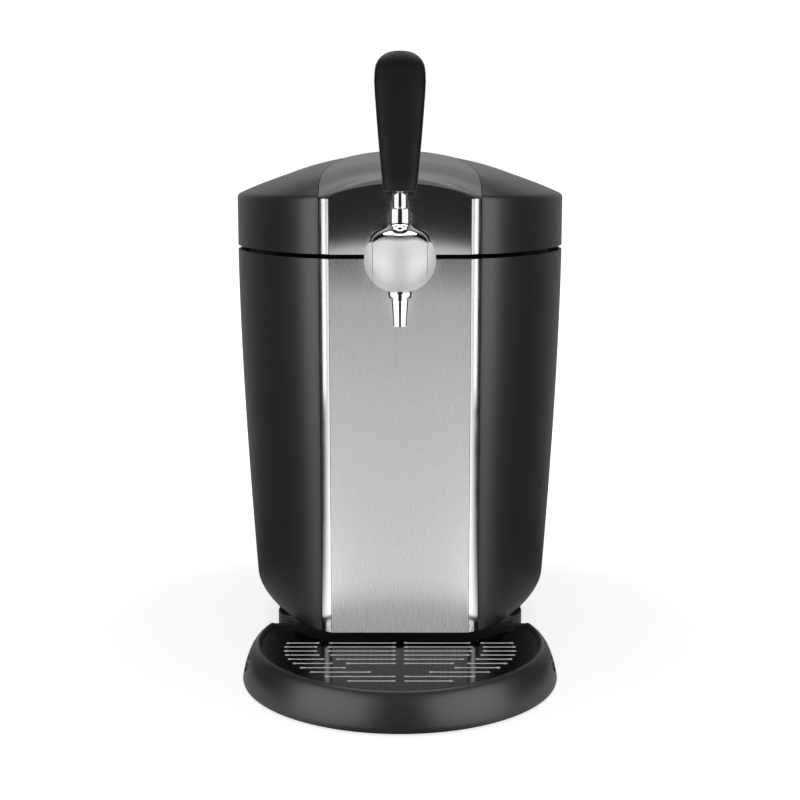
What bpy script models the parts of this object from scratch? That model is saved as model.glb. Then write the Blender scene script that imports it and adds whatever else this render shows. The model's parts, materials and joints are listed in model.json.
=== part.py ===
"""Mini keg beer dispenser: an insulated, cooled housing with a hinged lid, a lever tap and a drip tray.

Metres, +Z up. The front faces -Y, the machine rests on z = 0, and X = 0 is its plane of symmetry.
"""
import math

import bmesh
import bpy
from mathutils import Matrix, Vector

# Shared gaps and cutter sizes
GAP = 0.0003
CUT = 0.004
MERGE = 0.00001

# Overall depth and the levels of the housing
OVERALL_DEPTH = 0.445
BASE_LEVEL = 0.0345
BODY_TOP = 0.3293
SEAM = 0.0034
LID_CREASE = 0.375
LID_BOTTOM = BODY_TOP + SEAM

# Drip tray, whose radius sets how far the housing stands back
TRAY_RADIUS = 0.124
TRAY_RIM_RADIUS = 0.1135
TRAY_BASIN_RADIUS = 0.1095
TRAY_HEIGHT = 0.0296
TRAY_LIFT = 0.0008
TRAY_FLOOR = 0.0063
TRAY_FLOOR_THICK = 0.002
TRAY_SKIRT_WALL = 0.0045
TRAY_BACK = 0.040
TRAY_BELLY = 0.0015
TRAY_SEGMENTS = 64
GRIP_ANGLE = math.radians(76)
GRIP_WIDTH = 0.017
GRIP_HEIGHT = 0.011
GRIP_LEVEL = 0.0165
GRIP_DEPTH = 0.0045

FASCIA_Y = TRAY_RADIUS - OVERALL_DEPTH / 2
BACK_Y = OVERALL_DEPTH / 2

# Plan of the housing
BODY_HALF = 0.1375
BODY_FOOT_HALF = 0.124
FLARE_POWER = 1.6
FASCIA_HALF = 0.054
STRIP_EDGE_X = 0.0617
STRIP_EDGE_DEPTH = 0.006
FLANK_RUN = 0.139
FLANK_POWER = 4 / 3
FLANK_STEPS = 9
BACK_CORNER = 0.042
CORNER_STEPS = 5
FOOT_ROUND = 0.013
FOOT_STEPS = 4
WALL_LEVELS = 6
PANEL_WALL = 0.0025
SHEET_METAL = 0.0020
REAR_MARGIN = 0.005
STRIP_GAP = 0.0012
STRIP_RETURN_SHARE = 1.3
REAR_HALF = BODY_FOOT_HALF - FOOT_ROUND - BACK_CORNER - REAR_MARGIN

# Lid
ARCH_RISE = 0.0115
NOSE_RISE = 0.0125
NOSE_RUN = 0.040
CROWN_SLOPE = 0.035
BACK_ROUND = 0.030
BAND_CROWN = 0.0025
BAND_TAPER = 0.0085
BAND_TAPER_START = 0.012
BAND_TAPER_RUN = 0.180
DOME_FULLNESS = 0.25
CREASE_ROUND = 0.003
CREASE_DROP_SHARE = 0.25
FASCIA_RELIEF_SHARE = 1.12
LID_WALL = 0.0025
TOP_STEPS = 4
BAND_COLUMNS = 10
NOSE_STEPS = 5
CROWN_STEPS = 5
TAIL_STEPS = 4

# Keg well and its jacket
WELL_SETBACK = 0.1085
WELL_RADIUS = 0.0885
WELL_WALL = 0.0015
WELL_FLOOR = 0.060
JACKET_WALL = 0.0105
ROUND_SEGMENTS = 40
DECK_LEVEL = 0.322
DECK_THICK = 0.003
FLOOR_THICK = 0.003
FLOOR_REST_SHARE = 1.2
FLOOR_INSET_SHARE = 0.75
PAD_RADIUS = 0.070
PAD_THICK = 0.003
SEAL_OUTER = 0.1005
SEAL_INNER = 0.0955
SEAL_HEIGHT = 0.0062
LINER_RADIUS = 0.100
LINER_WALL = 0.0025
LINER_TOP = 0.368
FOAM_RADIUS = 0.094
FOAM_THICK = 0.0145
FRAME_LEVEL = 0.336
FRAME_THICK = 0.003

# Tap
TAP_REACH = 0.043
TAP_LEVEL = BODY_TOP + 0.0027
TAP_BALL = 0.0246
BALL_STRETCH = 1.065
TAP_HALF = 0.0196
YOKE_INNER = 0.0249
YOKE_SPAN = math.radians(48)
NECK_RADIUS = 0.0073
NECK_HEIGHT = 0.0092
NECK_FOOT = 0.0275
CAP_SHOULDER = ((0.0156, 0.0215), (0.0187, 0.0194), (0.0212, 0.0164), (0.0222, 0.0125), (0.0218, 0.0095))
FLARE_LIFT = 0.0012
FLARE_SHARE = 0.35
CORE_STEPS = 8
STEM_RADIUS = 0.00535
STEM_BORE = 0.0030
STEM_THREAD = 0.012
HANDLE_FOOT = 0.0488
HANDLE_TOP = 0.480
HANDLE_HALF_FOOT = 0.01225
HANDLE_HALF_TOP = 0.0185
HANDLE_THICK = 0.016
HANDLE_ROUND = 0.005
HANDLE_STEPS = 10
SHAFT_RADIUS = 0.003
SHAFT_BORE = 0.0033
SHAFT_HALF = 0.0225
CRANK_REACH = 0.0095
CRANK_TIP = 0.0018
CRANK_HALF = 0.0020
CRANK_HUB = 0.0055
LEVER_TRAVEL = math.radians(40)
PLUNGER_RADIUS = 0.0040
PLUNGER_STEM = 0.0026
PLUNGER_LOW = 0.0160
PLUNGER_HIGH = 0.0060
PLUNGER_TRAVEL = CRANK_REACH * math.sin(LEVER_TRAVEL)
PLUNGER_WAIST_SHARE = 0.4
PLUNGER_FOOT_SHARE = 0.75
PLUNGER_SLOT_SHARE = 0.32
PASSAGE_SHARE = 0.82
CRANK_WEB_SHARE = 0.9
CRANK_NECK_SHARE = 0.7
SPOUT_RADIUS = 0.0068
SPOUT_TIP_RADIUS = 0.0054
SPOUT_BORE = 0.0036
SPOUT_END = 0.283
COLLAR_RADIUS = 0.00925
COLLAR_TOP = 0.3105
COLLAR_END = 0.304
SHANK_RADIUS = 0.008
SHANK_BORE = 0.0035
SHANK_INSIDE = 0.0185
SHANK_SEAT = 0.0200
FLANGE_RADIUS = 0.0125
FLANGE_THICK = 0.003
FLANGE_GAP = 0.0006
NUT_RADIUS = 0.0125
NUT_THICK = 0.006
WASHER_THICK = 0.002
CHANNEL_HALF = 0.0142
CHANNEL_RISE = 0.0142

# Drip grate
GRATE_RADIUS = 0.1085
GRATE_TOP = 0.0278
GRATE_THICK = 0.0018
GRATE_BACK = 0.036
GRATE_CLEARANCE = 0.0028
GRATE_LIFT = 0.050
GRATE_LEDGE = 0.003
SLOT_ROWS = 10
INNER_ROWS = 6
FIRST_ROW = 0.0065
ROW_PITCH = 0.0092
SLOT_WIDTH = 0.0026
MIDDLE_ROW = 1.2
OUTER_REACH = 0.0906
OUTER_SPAN = 8.63
OUTER_START = 0.0646
OUTER_START_SPAN = 6.15
INNER_REACH = 0.0572
INNER_SPAN = 5.45
SLOT_BRIDGE = 0.003

# Pedestal, tongue and feet
PEDESTAL_HALF = 0.101
PEDESTAL_CORNER = 0.020
PEDESTAL_BACK_INSET = 0.012
PEDESTAL_WALL = 0.003
PEDESTAL_BOTTOM = 0.0025
BOTTOM_PLATE_THICK = 0.0025
TONGUE_HALF = 0.060
TONGUE_REACH = 0.085
TONGUE_THICK = 0.0035
FOOT_RADIUS = 0.009
FOOT_SINK = 0.0012
FRONT_FOOT_X = 0.045
FRONT_FOOT_REACH = 0.065
REAR_FOOT_X = 0.078
REAR_FOOT_INSET = 0.038

# Lid hinge
HINGE_X = 0.040
HINGE_LEVEL = 0.345
HINGE_INSET = 0.0065
KNUCKLE_RADIUS = 0.004
KNUCKLE_WIDTH = 0.008
HINGE_PIN_RADIUS = 0.0020
HINGE_BORE = 0.0023
HINGE_PIN_OVERHANG = 0.001
LEAF_TOP = 0.364
LEAF_THICK = 0.003
NOTCH_MARGIN = 0.0015
BRACKET_THICK = 0.0062

# Cooling stack behind the well
BLOCK_HALF = 0.030
BLOCK_LOW = 0.180
BLOCK_HEIGHT = 0.060
BLOCK_DEPTH = 0.018
MODULE_HALF = 0.020
MODULE_THICK = 0.0038
SINK_HALF = 0.045
SINK_HEIGHT = 0.100
SINK_BASE = 0.006
FIN_COUNT = 11
FIN_THICK = 0.0016
FIN_DEPTH = 0.026
FAN_HALF = 0.040
FAN_DEPTH = 0.015
FAN_BORE = 0.0370
FAN_HUB = 0.013
FAN_MOTOR_DEPTH = 0.0035
FAN_BLADE_REACH = 0.0355
FAN_BLADE_DEPTH = 0.0075
FAN_BLADE_THICK = 0.0014
FAN_BLADE_TILT = math.radians(38)
FAN_BLADES = 7
FAN_STRUT = 0.004
FAN_STRUTS = 3
BLADE_ROOT_SHARE = 0.8
FAN_AXLE = 0.002
FAN_AXLE_BORE = 0.0023

# Rear cover and what it carries
VENT_COUNT = 9
VENT_WIDTH = 0.0036
VENT_PITCH = 0.0085
VENT_HALF_LENGTH = 0.034
SCREW_RADIUS = 0.0032
SCREW_HEAD = 0.0016
SCREW_SHANK = 0.0014
SCREW_LENGTH = 0.006
SCREW_INSET_X = 0.009
SCREW_LOW = 0.068
SCREW_HIGH = 0.309
INLET_X = 0.028
INLET_LEVEL = 0.086
INLET_HALF_WIDTH = 0.0135
INLET_HALF_HEIGHT = 0.0095
INLET_DEPTH = 0.020
INLET_SOCKET_HALF_WIDTH = 0.0095
INLET_SOCKET_HALF_HEIGHT = 0.0050
INLET_SOCKET_DEPTH = 0.014
SWITCH_X = -0.028
SWITCH_HALF_WIDTH = 0.0115
SWITCH_HALF_HEIGHT = 0.0085
SWITCH_WALL = 0.0016
SWITCH_DEPTH = 0.014
ROCKER_THROW = math.radians(9)
ROCKER_RISE_SHARE = 0.4
ROCKER_DROP_SHARE = 0.45
ROCKER_BACK_SHARE = 0.8
ROCKER_TAPER_SHARE = 0.4
ROCKER_TIP_SHARE = 0.86
ROCKER_DISH_SHARE = 1.6
BOARD_HALF = 0.050
BOARD_HEIGHT = 0.060
BOARD_THICK = 0.0016
BOARD_SETBACK = 0.055
BOARD_BLOCK_HALF = 0.015
BOARD_BLOCK_DEPTH = 0.016
BOARD_BLOCK_HEIGHT = 0.026
BOARD_BLOCK_X = 0.024
BOARD_BLOCK_LOW_SHARE = 0.15
SMALL_BLOCK_SHARE = 0.7

# Finishes: colour, roughness, metallic
FINISHES = {
    "black_plastic": ((0.018, 0.018, 0.020), 0.45, 0.0),
    "silver_plastic": ((0.42, 0.42, 0.43), 0.35, 0.6),
    "brushed_steel": ((0.62, 0.61, 0.60), 0.30, 1.0),
    "chrome": ((0.86, 0.86, 0.87), 0.06, 1.0),
    "handle_black": ((0.015, 0.015, 0.016), 0.60, 0.0),
    "dark_steel": ((0.22, 0.22, 0.23), 0.20, 1.0),
    "aluminium": ((0.70, 0.71, 0.73), 0.35, 1.0),
    "foam": ((0.80, 0.79, 0.74), 0.90, 0.0),
    "grey_plastic": ((0.35, 0.36, 0.37), 0.50, 0.0),
    "rubber": ((0.030, 0.030, 0.032), 0.85, 0.0),
    "ceramic": ((0.85, 0.84, 0.82), 0.60, 0.0),
    "board_green": ((0.03, 0.18, 0.08), 0.50, 0.0),
    "steel": ((0.55, 0.55, 0.56), 0.30, 1.0),
}

BACK = Vector((0, 1, 0))
UP = Vector((0, 0, 1))
RIGHT = Vector((1, 0, 0))


def clear_scene():
    for thing in list(bpy.data.objects):
        bpy.data.objects.remove(thing, do_unlink=True)


def new_collection(name):
    collection = bpy.data.collections.new(name)
    bpy.context.scene.collection.children.link(collection)
    return collection


def finish(name):
    """The material of one finish, made once."""
    material = bpy.data.materials.get(name)
    if material:
        return material
    colour, roughness, metallic = FINISHES[name]
    material = bpy.data.materials.new(name)
    material.use_nodes = True
    shader = material.node_tree.nodes["Principled BSDF"]
    shader.inputs["Base Color"].default_value = (*colour, 1)
    shader.inputs["Roughness"].default_value = roughness
    shader.inputs["Metallic"].default_value = metallic
    return material


def add_piece(name, mesh, finish_name, origin=Vector()):
    """Turn a bmesh, given in world space, into a named object whose origin is at origin."""
    bmesh.ops.translate(mesh, verts=mesh.verts, vec=-origin)
    data = bpy.data.meshes.new(name)
    mesh.to_mesh(data)
    mesh.free()
    data.shade_smooth()
    data.set_sharp_from_angle(angle=math.radians(35))
    data.materials.append(finish(finish_name))
    piece = bpy.data.objects.new(name, data)
    piece.location = origin
    PARTS.objects.link(piece)
    return piece


def add_cutter(mesh):
    data = bpy.data.meshes.new("cutter")
    mesh.to_mesh(data)
    mesh.free()
    cutter = bpy.data.objects.new("cutter", data)
    cutter.hide_render = True
    cutter.display_type = "WIRE"
    CUTTERS.objects.link(cutter)
    return cutter


def combine(piece, mesh, operation):
    modifier = piece.modifiers.new(operation.lower(), "BOOLEAN")
    modifier.operation = operation
    modifier.object = add_cutter(mesh)
    modifier.solver = "EXACT"


def cut(piece, mesh):
    combine(piece, mesh, "DIFFERENCE")


def join(piece, mesh):
    combine(piece, mesh, "UNION")


def keep(piece, mesh):
    combine(piece, mesh, "INTERSECT")


def block(low, high):
    """A box between two corners."""
    low = Vector(low)
    high = Vector(high)
    mesh = bmesh.new()
    bmesh.ops.create_cube(mesh, size=1)
    bmesh.ops.scale(mesh, verts=mesh.verts, vec=high - low)
    bmesh.ops.translate(mesh, verts=mesh.verts, vec=(low + high) / 2)
    return mesh


def rod(start, end, radius, segments=24, end_radius=None):
    """A cylinder, or a cone, from start to end."""
    start = Vector(start)
    end = Vector(end)
    along = end - start
    mesh = bmesh.new()
    bmesh.ops.create_cone(mesh, cap_ends=True, segments=segments, radius1=radius,
                          radius2=radius if end_radius is None else end_radius, depth=along.length)
    turn = UP.rotation_difference(along).to_matrix()
    bmesh.ops.rotate(mesh, verts=mesh.verts, matrix=turn)
    bmesh.ops.translate(mesh, verts=mesh.verts, vec=(start + end) / 2)
    return mesh


def ball(centre, radius, segments=24, rings=16):
    """A sphere with its poles on the X axis."""
    mesh = bmesh.new()
    bmesh.ops.create_uvsphere(mesh, u_segments=segments, v_segments=rings, radius=radius)
    bmesh.ops.rotate(mesh, verts=mesh.verts, matrix=Matrix.Rotation(math.pi / 2, 3, "Y"))
    bmesh.ops.translate(mesh, verts=mesh.verts, vec=centre)
    return mesh


def oval_ball(centre, radius):
    """A ball drawn out along X, the tap's form."""
    mesh = ball(centre, radius, 28, 18)
    bmesh.ops.scale(mesh, verts=mesh.verts, vec=(BALL_STRETCH, 1, 1), space=Matrix.Translation(-centre))
    return mesh


def mesh_of(carrier):
    """The evaluated mesh of an object in world space, as a bmesh; the object is removed."""
    graph = bpy.context.evaluated_depsgraph_get()
    data = bpy.data.meshes.new_from_object(carrier.evaluated_get(graph))
    data.transform(carrier.matrix_world)
    bpy.data.objects.remove(carrier, do_unlink=True)
    mesh = bmesh.new()
    mesh.from_mesh(data)
    bpy.data.meshes.remove(data)
    bmesh.ops.remove_doubles(mesh, verts=mesh.verts, dist=MERGE)
    bmesh.ops.recalc_face_normals(mesh, faces=mesh.faces)
    return mesh


def slab(outline, low, high, holes=(), axis="Z"):
    """A flat outline, with holes or with others beside it, extruded from low to high along Z, Y or X.

    For Z the outline is (x, y), for Y it is (x, z) and for X it is (y, z).
    """
    curve = bpy.data.curves.new("outline", "CURVE")
    curve.dimensions = "2D"
    curve.fill_mode = "BOTH"
    curve.extrude = (high - low) / 2
    for ring in (outline, *holes):
        spline = curve.splines.new("POLY")
        spline.points.add(len(ring) - 1)
        for point, place in zip(spline.points, ring):
            point.co = (*place, 0, 1)
        spline.use_cyclic_u = True
    carrier = bpy.data.objects.new("outline", curve)
    PARTS.objects.link(carrier)
    bpy.context.view_layer.update()
    mesh = mesh_of(carrier)
    bpy.data.curves.remove(curve)
    middle = (low + high) / 2
    frames = {
        "Z": Matrix(((1, 0, 0, 0), (0, 1, 0, 0), (0, 0, 1, middle), (0, 0, 0, 1))),
        "Y": Matrix(((1, 0, 0, 0), (0, 0, -1, middle), (0, 1, 0, 0), (0, 0, 0, 1))),
        "X": Matrix(((0, 0, 1, middle), (1, 0, 0, 0), (0, 1, 0, 0), (0, 0, 0, 1))),
    }
    bmesh.ops.transform(mesh, matrix=frames[axis], verts=mesh.verts)
    return mesh


def turned(profile, centre=Vector(), segments=ROUND_SEGMENTS):
    """A profile of (radius, height) pairs, top to bottom down its outer side, spun about Z."""
    outline = bmesh.new()
    corners = [outline.verts.new((radius, 0, height)) for radius, height in profile]
    for first, second in zip(corners, corners[1:]):
        outline.edges.new((first, second))
    if profile[0][0] > 0 or profile[-1][0] > 0:
        outline.edges.new((corners[-1], corners[0]))
    data = bpy.data.meshes.new("profile")
    outline.to_mesh(data)
    outline.free()
    carrier = bpy.data.objects.new("profile", data)
    PARTS.objects.link(carrier)
    screw = carrier.modifiers.new("screw", "SCREW")
    screw.steps = segments
    screw.render_steps = segments
    screw.use_merge_vertices = True
    screw.merge_threshold = MERGE
    bpy.context.view_layer.update()
    mesh = mesh_of(carrier)
    bpy.data.meshes.remove(data)
    bmesh.ops.translate(mesh, verts=mesh.verts, vec=centre)
    return mesh


def circle(centre, radius, segments=ROUND_SEGMENTS):
    """Points round a circle."""
    turns = [2 * math.pi * step / segments for step in range(segments)]
    return [(centre[0] + radius * math.cos(turn), centre[1] + radius * math.sin(turn)) for turn in turns]


def round_box(left, right, low, high, radius, steps=4):
    """A rectangle's outline with rounded corners."""
    points = []
    corners = ((right - radius, high - radius), (left + radius, high - radius),
               (left + radius, low + radius), (right - radius, low + radius))
    for index, (x, y) in enumerate(corners):
        for step in range(steps + 1):
            turn = math.pi / 2 * (index + step / steps)
            points.append((x + radius * math.cos(turn), y + radius * math.sin(turn)))
    return points


# The housing's plan and sections


def half_width(level):
    """Half the housing's width at a height, which draws in towards the foot."""
    fall = (BODY_TOP - level) / (BODY_TOP - BASE_LEVEL)
    return BODY_HALF - (BODY_HALF - BODY_FOOT_HALF) * max(fall, 0) ** FLARE_POWER


def flank(width, inset, end_x):
    """Plan points of the right side, from the strip's outer edge to end_x at the back."""
    start_x = STRIP_EDGE_X + GAP
    reach = width - inset - start_x
    run = FLANK_RUN - STRIP_EDGE_DEPTH
    points = []
    for step in range(FLANK_STEPS + 1):
        turn = math.pi / 2 * step / FLANK_STEPS
        x = start_x + reach * max(math.sin(turn), 0) ** FLANK_POWER
        y = FASCIA_Y + STRIP_EDGE_DEPTH + run * (1 - max(math.cos(turn), 0) ** FLANK_POWER)
        points.append(Vector((x, y)))
    middle = Vector((width - inset - BACK_CORNER, BACK_Y - inset - BACK_CORNER))
    points.append(Vector((width - inset, (points[-1].y + middle.y) / 2)))
    for step in range(CORNER_STEPS + 1):
        turn = math.pi / 2 * step / CORNER_STEPS
        points.append(middle + BACK_CORNER * Vector((math.cos(turn), math.sin(turn))))
    points.append(Vector((end_x, BACK_Y - inset)))
    return points


def width_at(depth, width):
    """Half the plan's width at a depth behind the fascia."""
    start_x = STRIP_EDGE_X + GAP
    share = min(max((depth - STRIP_EDGE_DEPTH) / (FLANK_RUN - STRIP_EDGE_DEPTH), 0), 1)
    power = 2 / FLANK_POWER
    wide = start_x + (width - start_x) * (1 - (1 - share) ** power) ** (1 / power)
    past = depth - (BACK_Y - FASCIA_Y - BACK_CORNER)
    if past > 0:
        wide -= BACK_CORNER - math.sqrt(max(BACK_CORNER ** 2 - past ** 2, 0))
    return wide


def inward(points, distance):
    """Plan points moved towards the inside of the housing along their normals."""
    moved = []
    for index, point in enumerate(points):
        before = points[max(index - 1, 0)]
        after = points[min(index + 1, len(points) - 1)]
        along = (after - before).normalized()
        moved.append(point + distance * Vector((-along.y, along.x)))
    return moved


def inner_plan(width, inset, clearance):
    """Closed plan of a plate that fits inside the fascia, the strips and the side panels."""
    front = FASCIA_Y + SHEET_METAL + GAP
    side = inward(flank(width, inset, 0), clearance)[1:]
    strip_inside = Vector((STRIP_EDGE_X - SHEET_METAL, FASCIA_Y + STRIP_EDGE_DEPTH + SHEET_METAL + STRIP_GAP))
    right = [Vector((FASCIA_HALF - SHEET_METAL, front)), strip_inside] + side[:-1]
    left = [Vector((-point.x, point.y)) for point in reversed(right)]
    return right + left


def plan_slab(width, inset, clearance, low, high, holes=()):
    return slab([tuple(point) for point in inner_plan(width, inset, clearance)], low, high, holes)


def crown(depth):
    """Height of the lid's dome above its crease on the centre line, at a depth behind the fascia."""
    nose = min(depth / NOSE_RUN, 1)
    rise = ARCH_RISE + NOSE_RISE * math.sqrt(1 - (1 - nose) ** 2) + CROWN_SLOPE * depth
    past = depth - (BACK_Y - FASCIA_Y - BACK_ROUND)
    if past > 0:
        rise *= math.sqrt(max(1 - (past / BACK_ROUND) ** 2, 0))
    return rise


def dome(x, y):
    """Height of the lid's skin at a place in plan."""
    depth = y - FASCIA_Y
    wide = max(width_at(depth, BODY_HALF), STRIP_EDGE_X)
    power = 2 + DOME_FULLNESS * min(max(depth / NOSE_RUN, 0), 1)
    return LID_CREASE + crown(depth) * max(1 - (abs(x) / wide) ** power, 0)


def bent_sheet(columns, rows, place, thickness, name, finish_name, side=1):
    """A grid bent by place(column, row) and thickened inwards; side -1 mirrors it to the left."""
    mesh = bmesh.new()
    bmesh.ops.create_grid(mesh, x_segments=columns, y_segments=rows, size=0.5)
    for vertex in mesh.verts:
        column = round((vertex.co.x + 0.5) * columns)
        row = round((vertex.co.y + 0.5) * rows)
        vertex.co = place(column, row)
    bmesh.ops.remove_doubles(mesh, verts=mesh.verts, dist=MERGE)
    if side < 0:
        bmesh.ops.scale(mesh, verts=mesh.verts, vec=(-1, 1, 1))
        bmesh.ops.reverse_faces(mesh, faces=mesh.faces)
    piece = add_piece(name, mesh, finish_name)
    wall = piece.modifiers.new("wall", "SOLIDIFY")
    wall.thickness = thickness
    wall.offset = -1
    wall.use_even_offset = True
    return piece


def body_levels():
    """Heights of the housing's sections with how far each draws in, from the rounded foot to the top."""
    levels = []
    for step in range(FOOT_STEPS + 1):
        turn = math.pi / 2 * step / FOOT_STEPS
        levels.append((BASE_LEVEL + FOOT_ROUND * (1 - math.cos(turn)), FOOT_ROUND * (1 - math.sin(turn))))
    foot_top = BASE_LEVEL + FOOT_ROUND
    for step in range(1, WALL_LEVELS + 1):
        levels.append((foot_top + (BODY_TOP - foot_top) * step / WALL_LEVELS, 0))
    return levels


# Housing


def side_panels():
    levels = body_levels()
    sections = [flank(half_width(level), inset, REAR_HALF) for level, inset in levels]

    def place(column, row):
        return (*sections[row][column], levels[row][0])

    for side, name in ((1, "body_right_panel"), (-1, "body_left_panel")):
        bent_sheet(len(sections[0]) - 1, len(levels) - 1, place, PANEL_WALL, name, "black_plastic", side)


def rear_cover():
    levels = body_levels()
    columns = 4

    def place(column, row):
        level, inset = levels[row]
        x = (REAR_HALF - GAP) * (1 - 2 * column / columns)
        return (x, BACK_Y - inset, level)

    cover = bent_sheet(columns, len(levels) - 1, place, PANEL_WALL, "rear_cover", "black_plastic")
    middle = fan_level()
    for index in range(VENT_COUNT):
        level = middle + (index - (VENT_COUNT - 1) / 2) * VENT_PITCH
        cut(cover, block((-VENT_HALF_LENGTH, BACK_Y - PANEL_WALL - CUT, level - VENT_WIDTH / 2),
                         (VENT_HALF_LENGTH, BACK_Y + CUT, level + VENT_WIDTH / 2)))
    for x in (-REAR_HALF + SCREW_INSET_X, REAR_HALF - SCREW_INSET_X):
        for level in (SCREW_LOW, SCREW_HIGH):
            outside = (x, BACK_Y + CUT, level)
            cut(cover, rod((x, BACK_Y - PANEL_WALL - CUT, level), outside, SCREW_SHANK + GAP, 12))
            cut(cover, rod((x, BACK_Y - SCREW_HEAD - GAP, level), outside, SCREW_RADIUS + GAP, 16))
    for x, wide, tall in ((INLET_X, INLET_HALF_WIDTH, INLET_HALF_HEIGHT),
                          (SWITCH_X, SWITCH_HALF_WIDTH, SWITCH_HALF_HEIGHT)):
        cut(cover, block((x - wide - GAP, BACK_Y - PANEL_WALL - CUT, INLET_LEVEL - tall - GAP),
                         (x + wide + GAP, BACK_Y + CUT, INLET_LEVEL + tall + GAP)))


def rear_screws():
    """Screws near the corners of the rear cover."""
    places = ((-1, SCREW_LOW), (1, SCREW_LOW), (-1, SCREW_HIGH), (1, SCREW_HIGH))
    for index, (side, level) in enumerate(places):
        x = side * (REAR_HALF - SCREW_INSET_X)
        head = rod((x, BACK_Y - SCREW_HEAD, level), (x, BACK_Y, level), SCREW_RADIUS, 16)
        screw = add_piece(f"rear_screw_{index + 1}", head, "steel")
        join(screw, rod((x, BACK_Y - PANEL_WALL - SCREW_LENGTH, level),
                        (x, BACK_Y - SCREW_HEAD / 2, level), SCREW_SHANK, 12))


def front_fascia():
    plate = slab([(-FASCIA_HALF + GAP, BASE_LEVEL), (FASCIA_HALF - GAP, BASE_LEVEL),
                  (FASCIA_HALF - GAP, BODY_TOP), (-FASCIA_HALF + GAP, BODY_TOP)],
                 FASCIA_Y, FASCIA_Y + SHEET_METAL, axis="Y")
    cut(add_piece("front_fascia", plate, "brushed_steel"), shank_hole())


def strip_plan(side):
    """Section of a corner strip, from the fascia's edge back to the side panel's edge."""
    return [(side * (FASCIA_HALF + GAP / 2), FASCIA_Y),
            (side * STRIP_EDGE_X, FASCIA_Y + STRIP_EDGE_DEPTH),
            (side * (STRIP_EDGE_X - SHEET_METAL / 2), FASCIA_Y + STRIP_EDGE_DEPTH + SHEET_METAL),
            (side * (FASCIA_HALF + GAP / 2), FASCIA_Y + SHEET_METAL * STRIP_RETURN_SHARE)]


def trim_strips():
    lid_top = LID_CREASE - LID_WALL - GAP
    for side, word in ((1, "right"), (-1, "left")):
        add_piece(f"trim_strip_{word}", slab(strip_plan(side), BASE_LEVEL, BODY_TOP), "chrome")
        add_piece(f"lid_trim_{word}", slab(strip_plan(side), LID_BOTTOM, lid_top), "chrome")


def floor_level():
    """Underside of the chassis floor, which lies on the side panels' turned-in feet."""
    return BASE_LEVEL + PANEL_WALL * FLOOR_REST_SHARE


def chassis_floor():
    low = floor_level()
    plate = plan_slab(BODY_FOOT_HALF, FOOT_ROUND * FLOOR_INSET_SHARE, PANEL_WALL + GAP, low, low + FLOOR_THICK)
    add_piece("chassis_floor", plate, "grey_plastic")


def top_deck():
    plate = plan_slab(half_width(DECK_LEVEL), 0, PANEL_WALL + GAP, DECK_LEVEL, DECK_LEVEL + DECK_THICK,
                      [circle((0, well_y()), WELL_RADIUS)])
    deck = add_piece("top_deck", plate, "grey_plastic")
    cut(deck, tap_channel())


def pedestal():
    """Hollow base under the housing, with the tongue that carries the drip tray."""
    front = FASCIA_Y + TRAY_BACK + GAP
    back = BACK_Y - PEDESTAL_BACK_INSET
    top = BASE_LEVEL - GAP
    outline = round_box(-PEDESTAL_HALF, PEDESTAL_HALF, front, back, PEDESTAL_CORNER)
    base = add_piece("base_housing", slab(outline, PEDESTAL_BOTTOM, top), "black_plastic")
    wall = PEDESTAL_WALL
    hollow = round_box(-PEDESTAL_HALF + wall, PEDESTAL_HALF - wall, front + wall, back - wall,
                       PEDESTAL_CORNER - wall)
    tongue_top = PEDESTAL_BOTTOM + TONGUE_THICK
    cut(base, slab(hollow, PEDESTAL_BOTTOM - CUT, top - wall))
    join(base, block((-TONGUE_HALF, FASCIA_Y - TONGUE_REACH, PEDESTAL_BOTTOM),
                     (TONGUE_HALF, front + wall / 2, tongue_top)))
    plate = round_box(-PEDESTAL_HALF + wall + GAP, PEDESTAL_HALF - wall - GAP, front + wall + GAP,
                      back - wall - GAP, PEDESTAL_CORNER - wall - GAP)
    cover = slab(plate, PEDESTAL_BOTTOM, PEDESTAL_BOTTOM + BOTTOM_PLATE_THICK)
    bottom = add_piece("bottom_plate", cover, "black_plastic")
    for index, (x, y) in enumerate(foot_places()):
        carrier = base if index < 2 else bottom
        sunk = PEDESTAL_BOTTOM + FOOT_SINK
        cut(carrier, rod((x, y, PEDESTAL_BOTTOM - CUT), (x, y, sunk), FOOT_RADIUS + GAP, 20))
        foot = rod((x, y, 0), (x, y, sunk - GAP), FOOT_RADIUS, 20)
        add_piece(f"rubber_foot_{index + 1}", foot, "rubber")


def foot_places():
    front = FASCIA_Y - FRONT_FOOT_REACH
    back = BACK_Y - REAR_FOOT_INSET
    return ((-FRONT_FOOT_X, front), (FRONT_FOOT_X, front), (-REAR_FOOT_X, back), (REAR_FOOT_X, back))


# Keg well and cooling


def well_y():
    return FASCIA_Y + WELL_SETBACK


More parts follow.
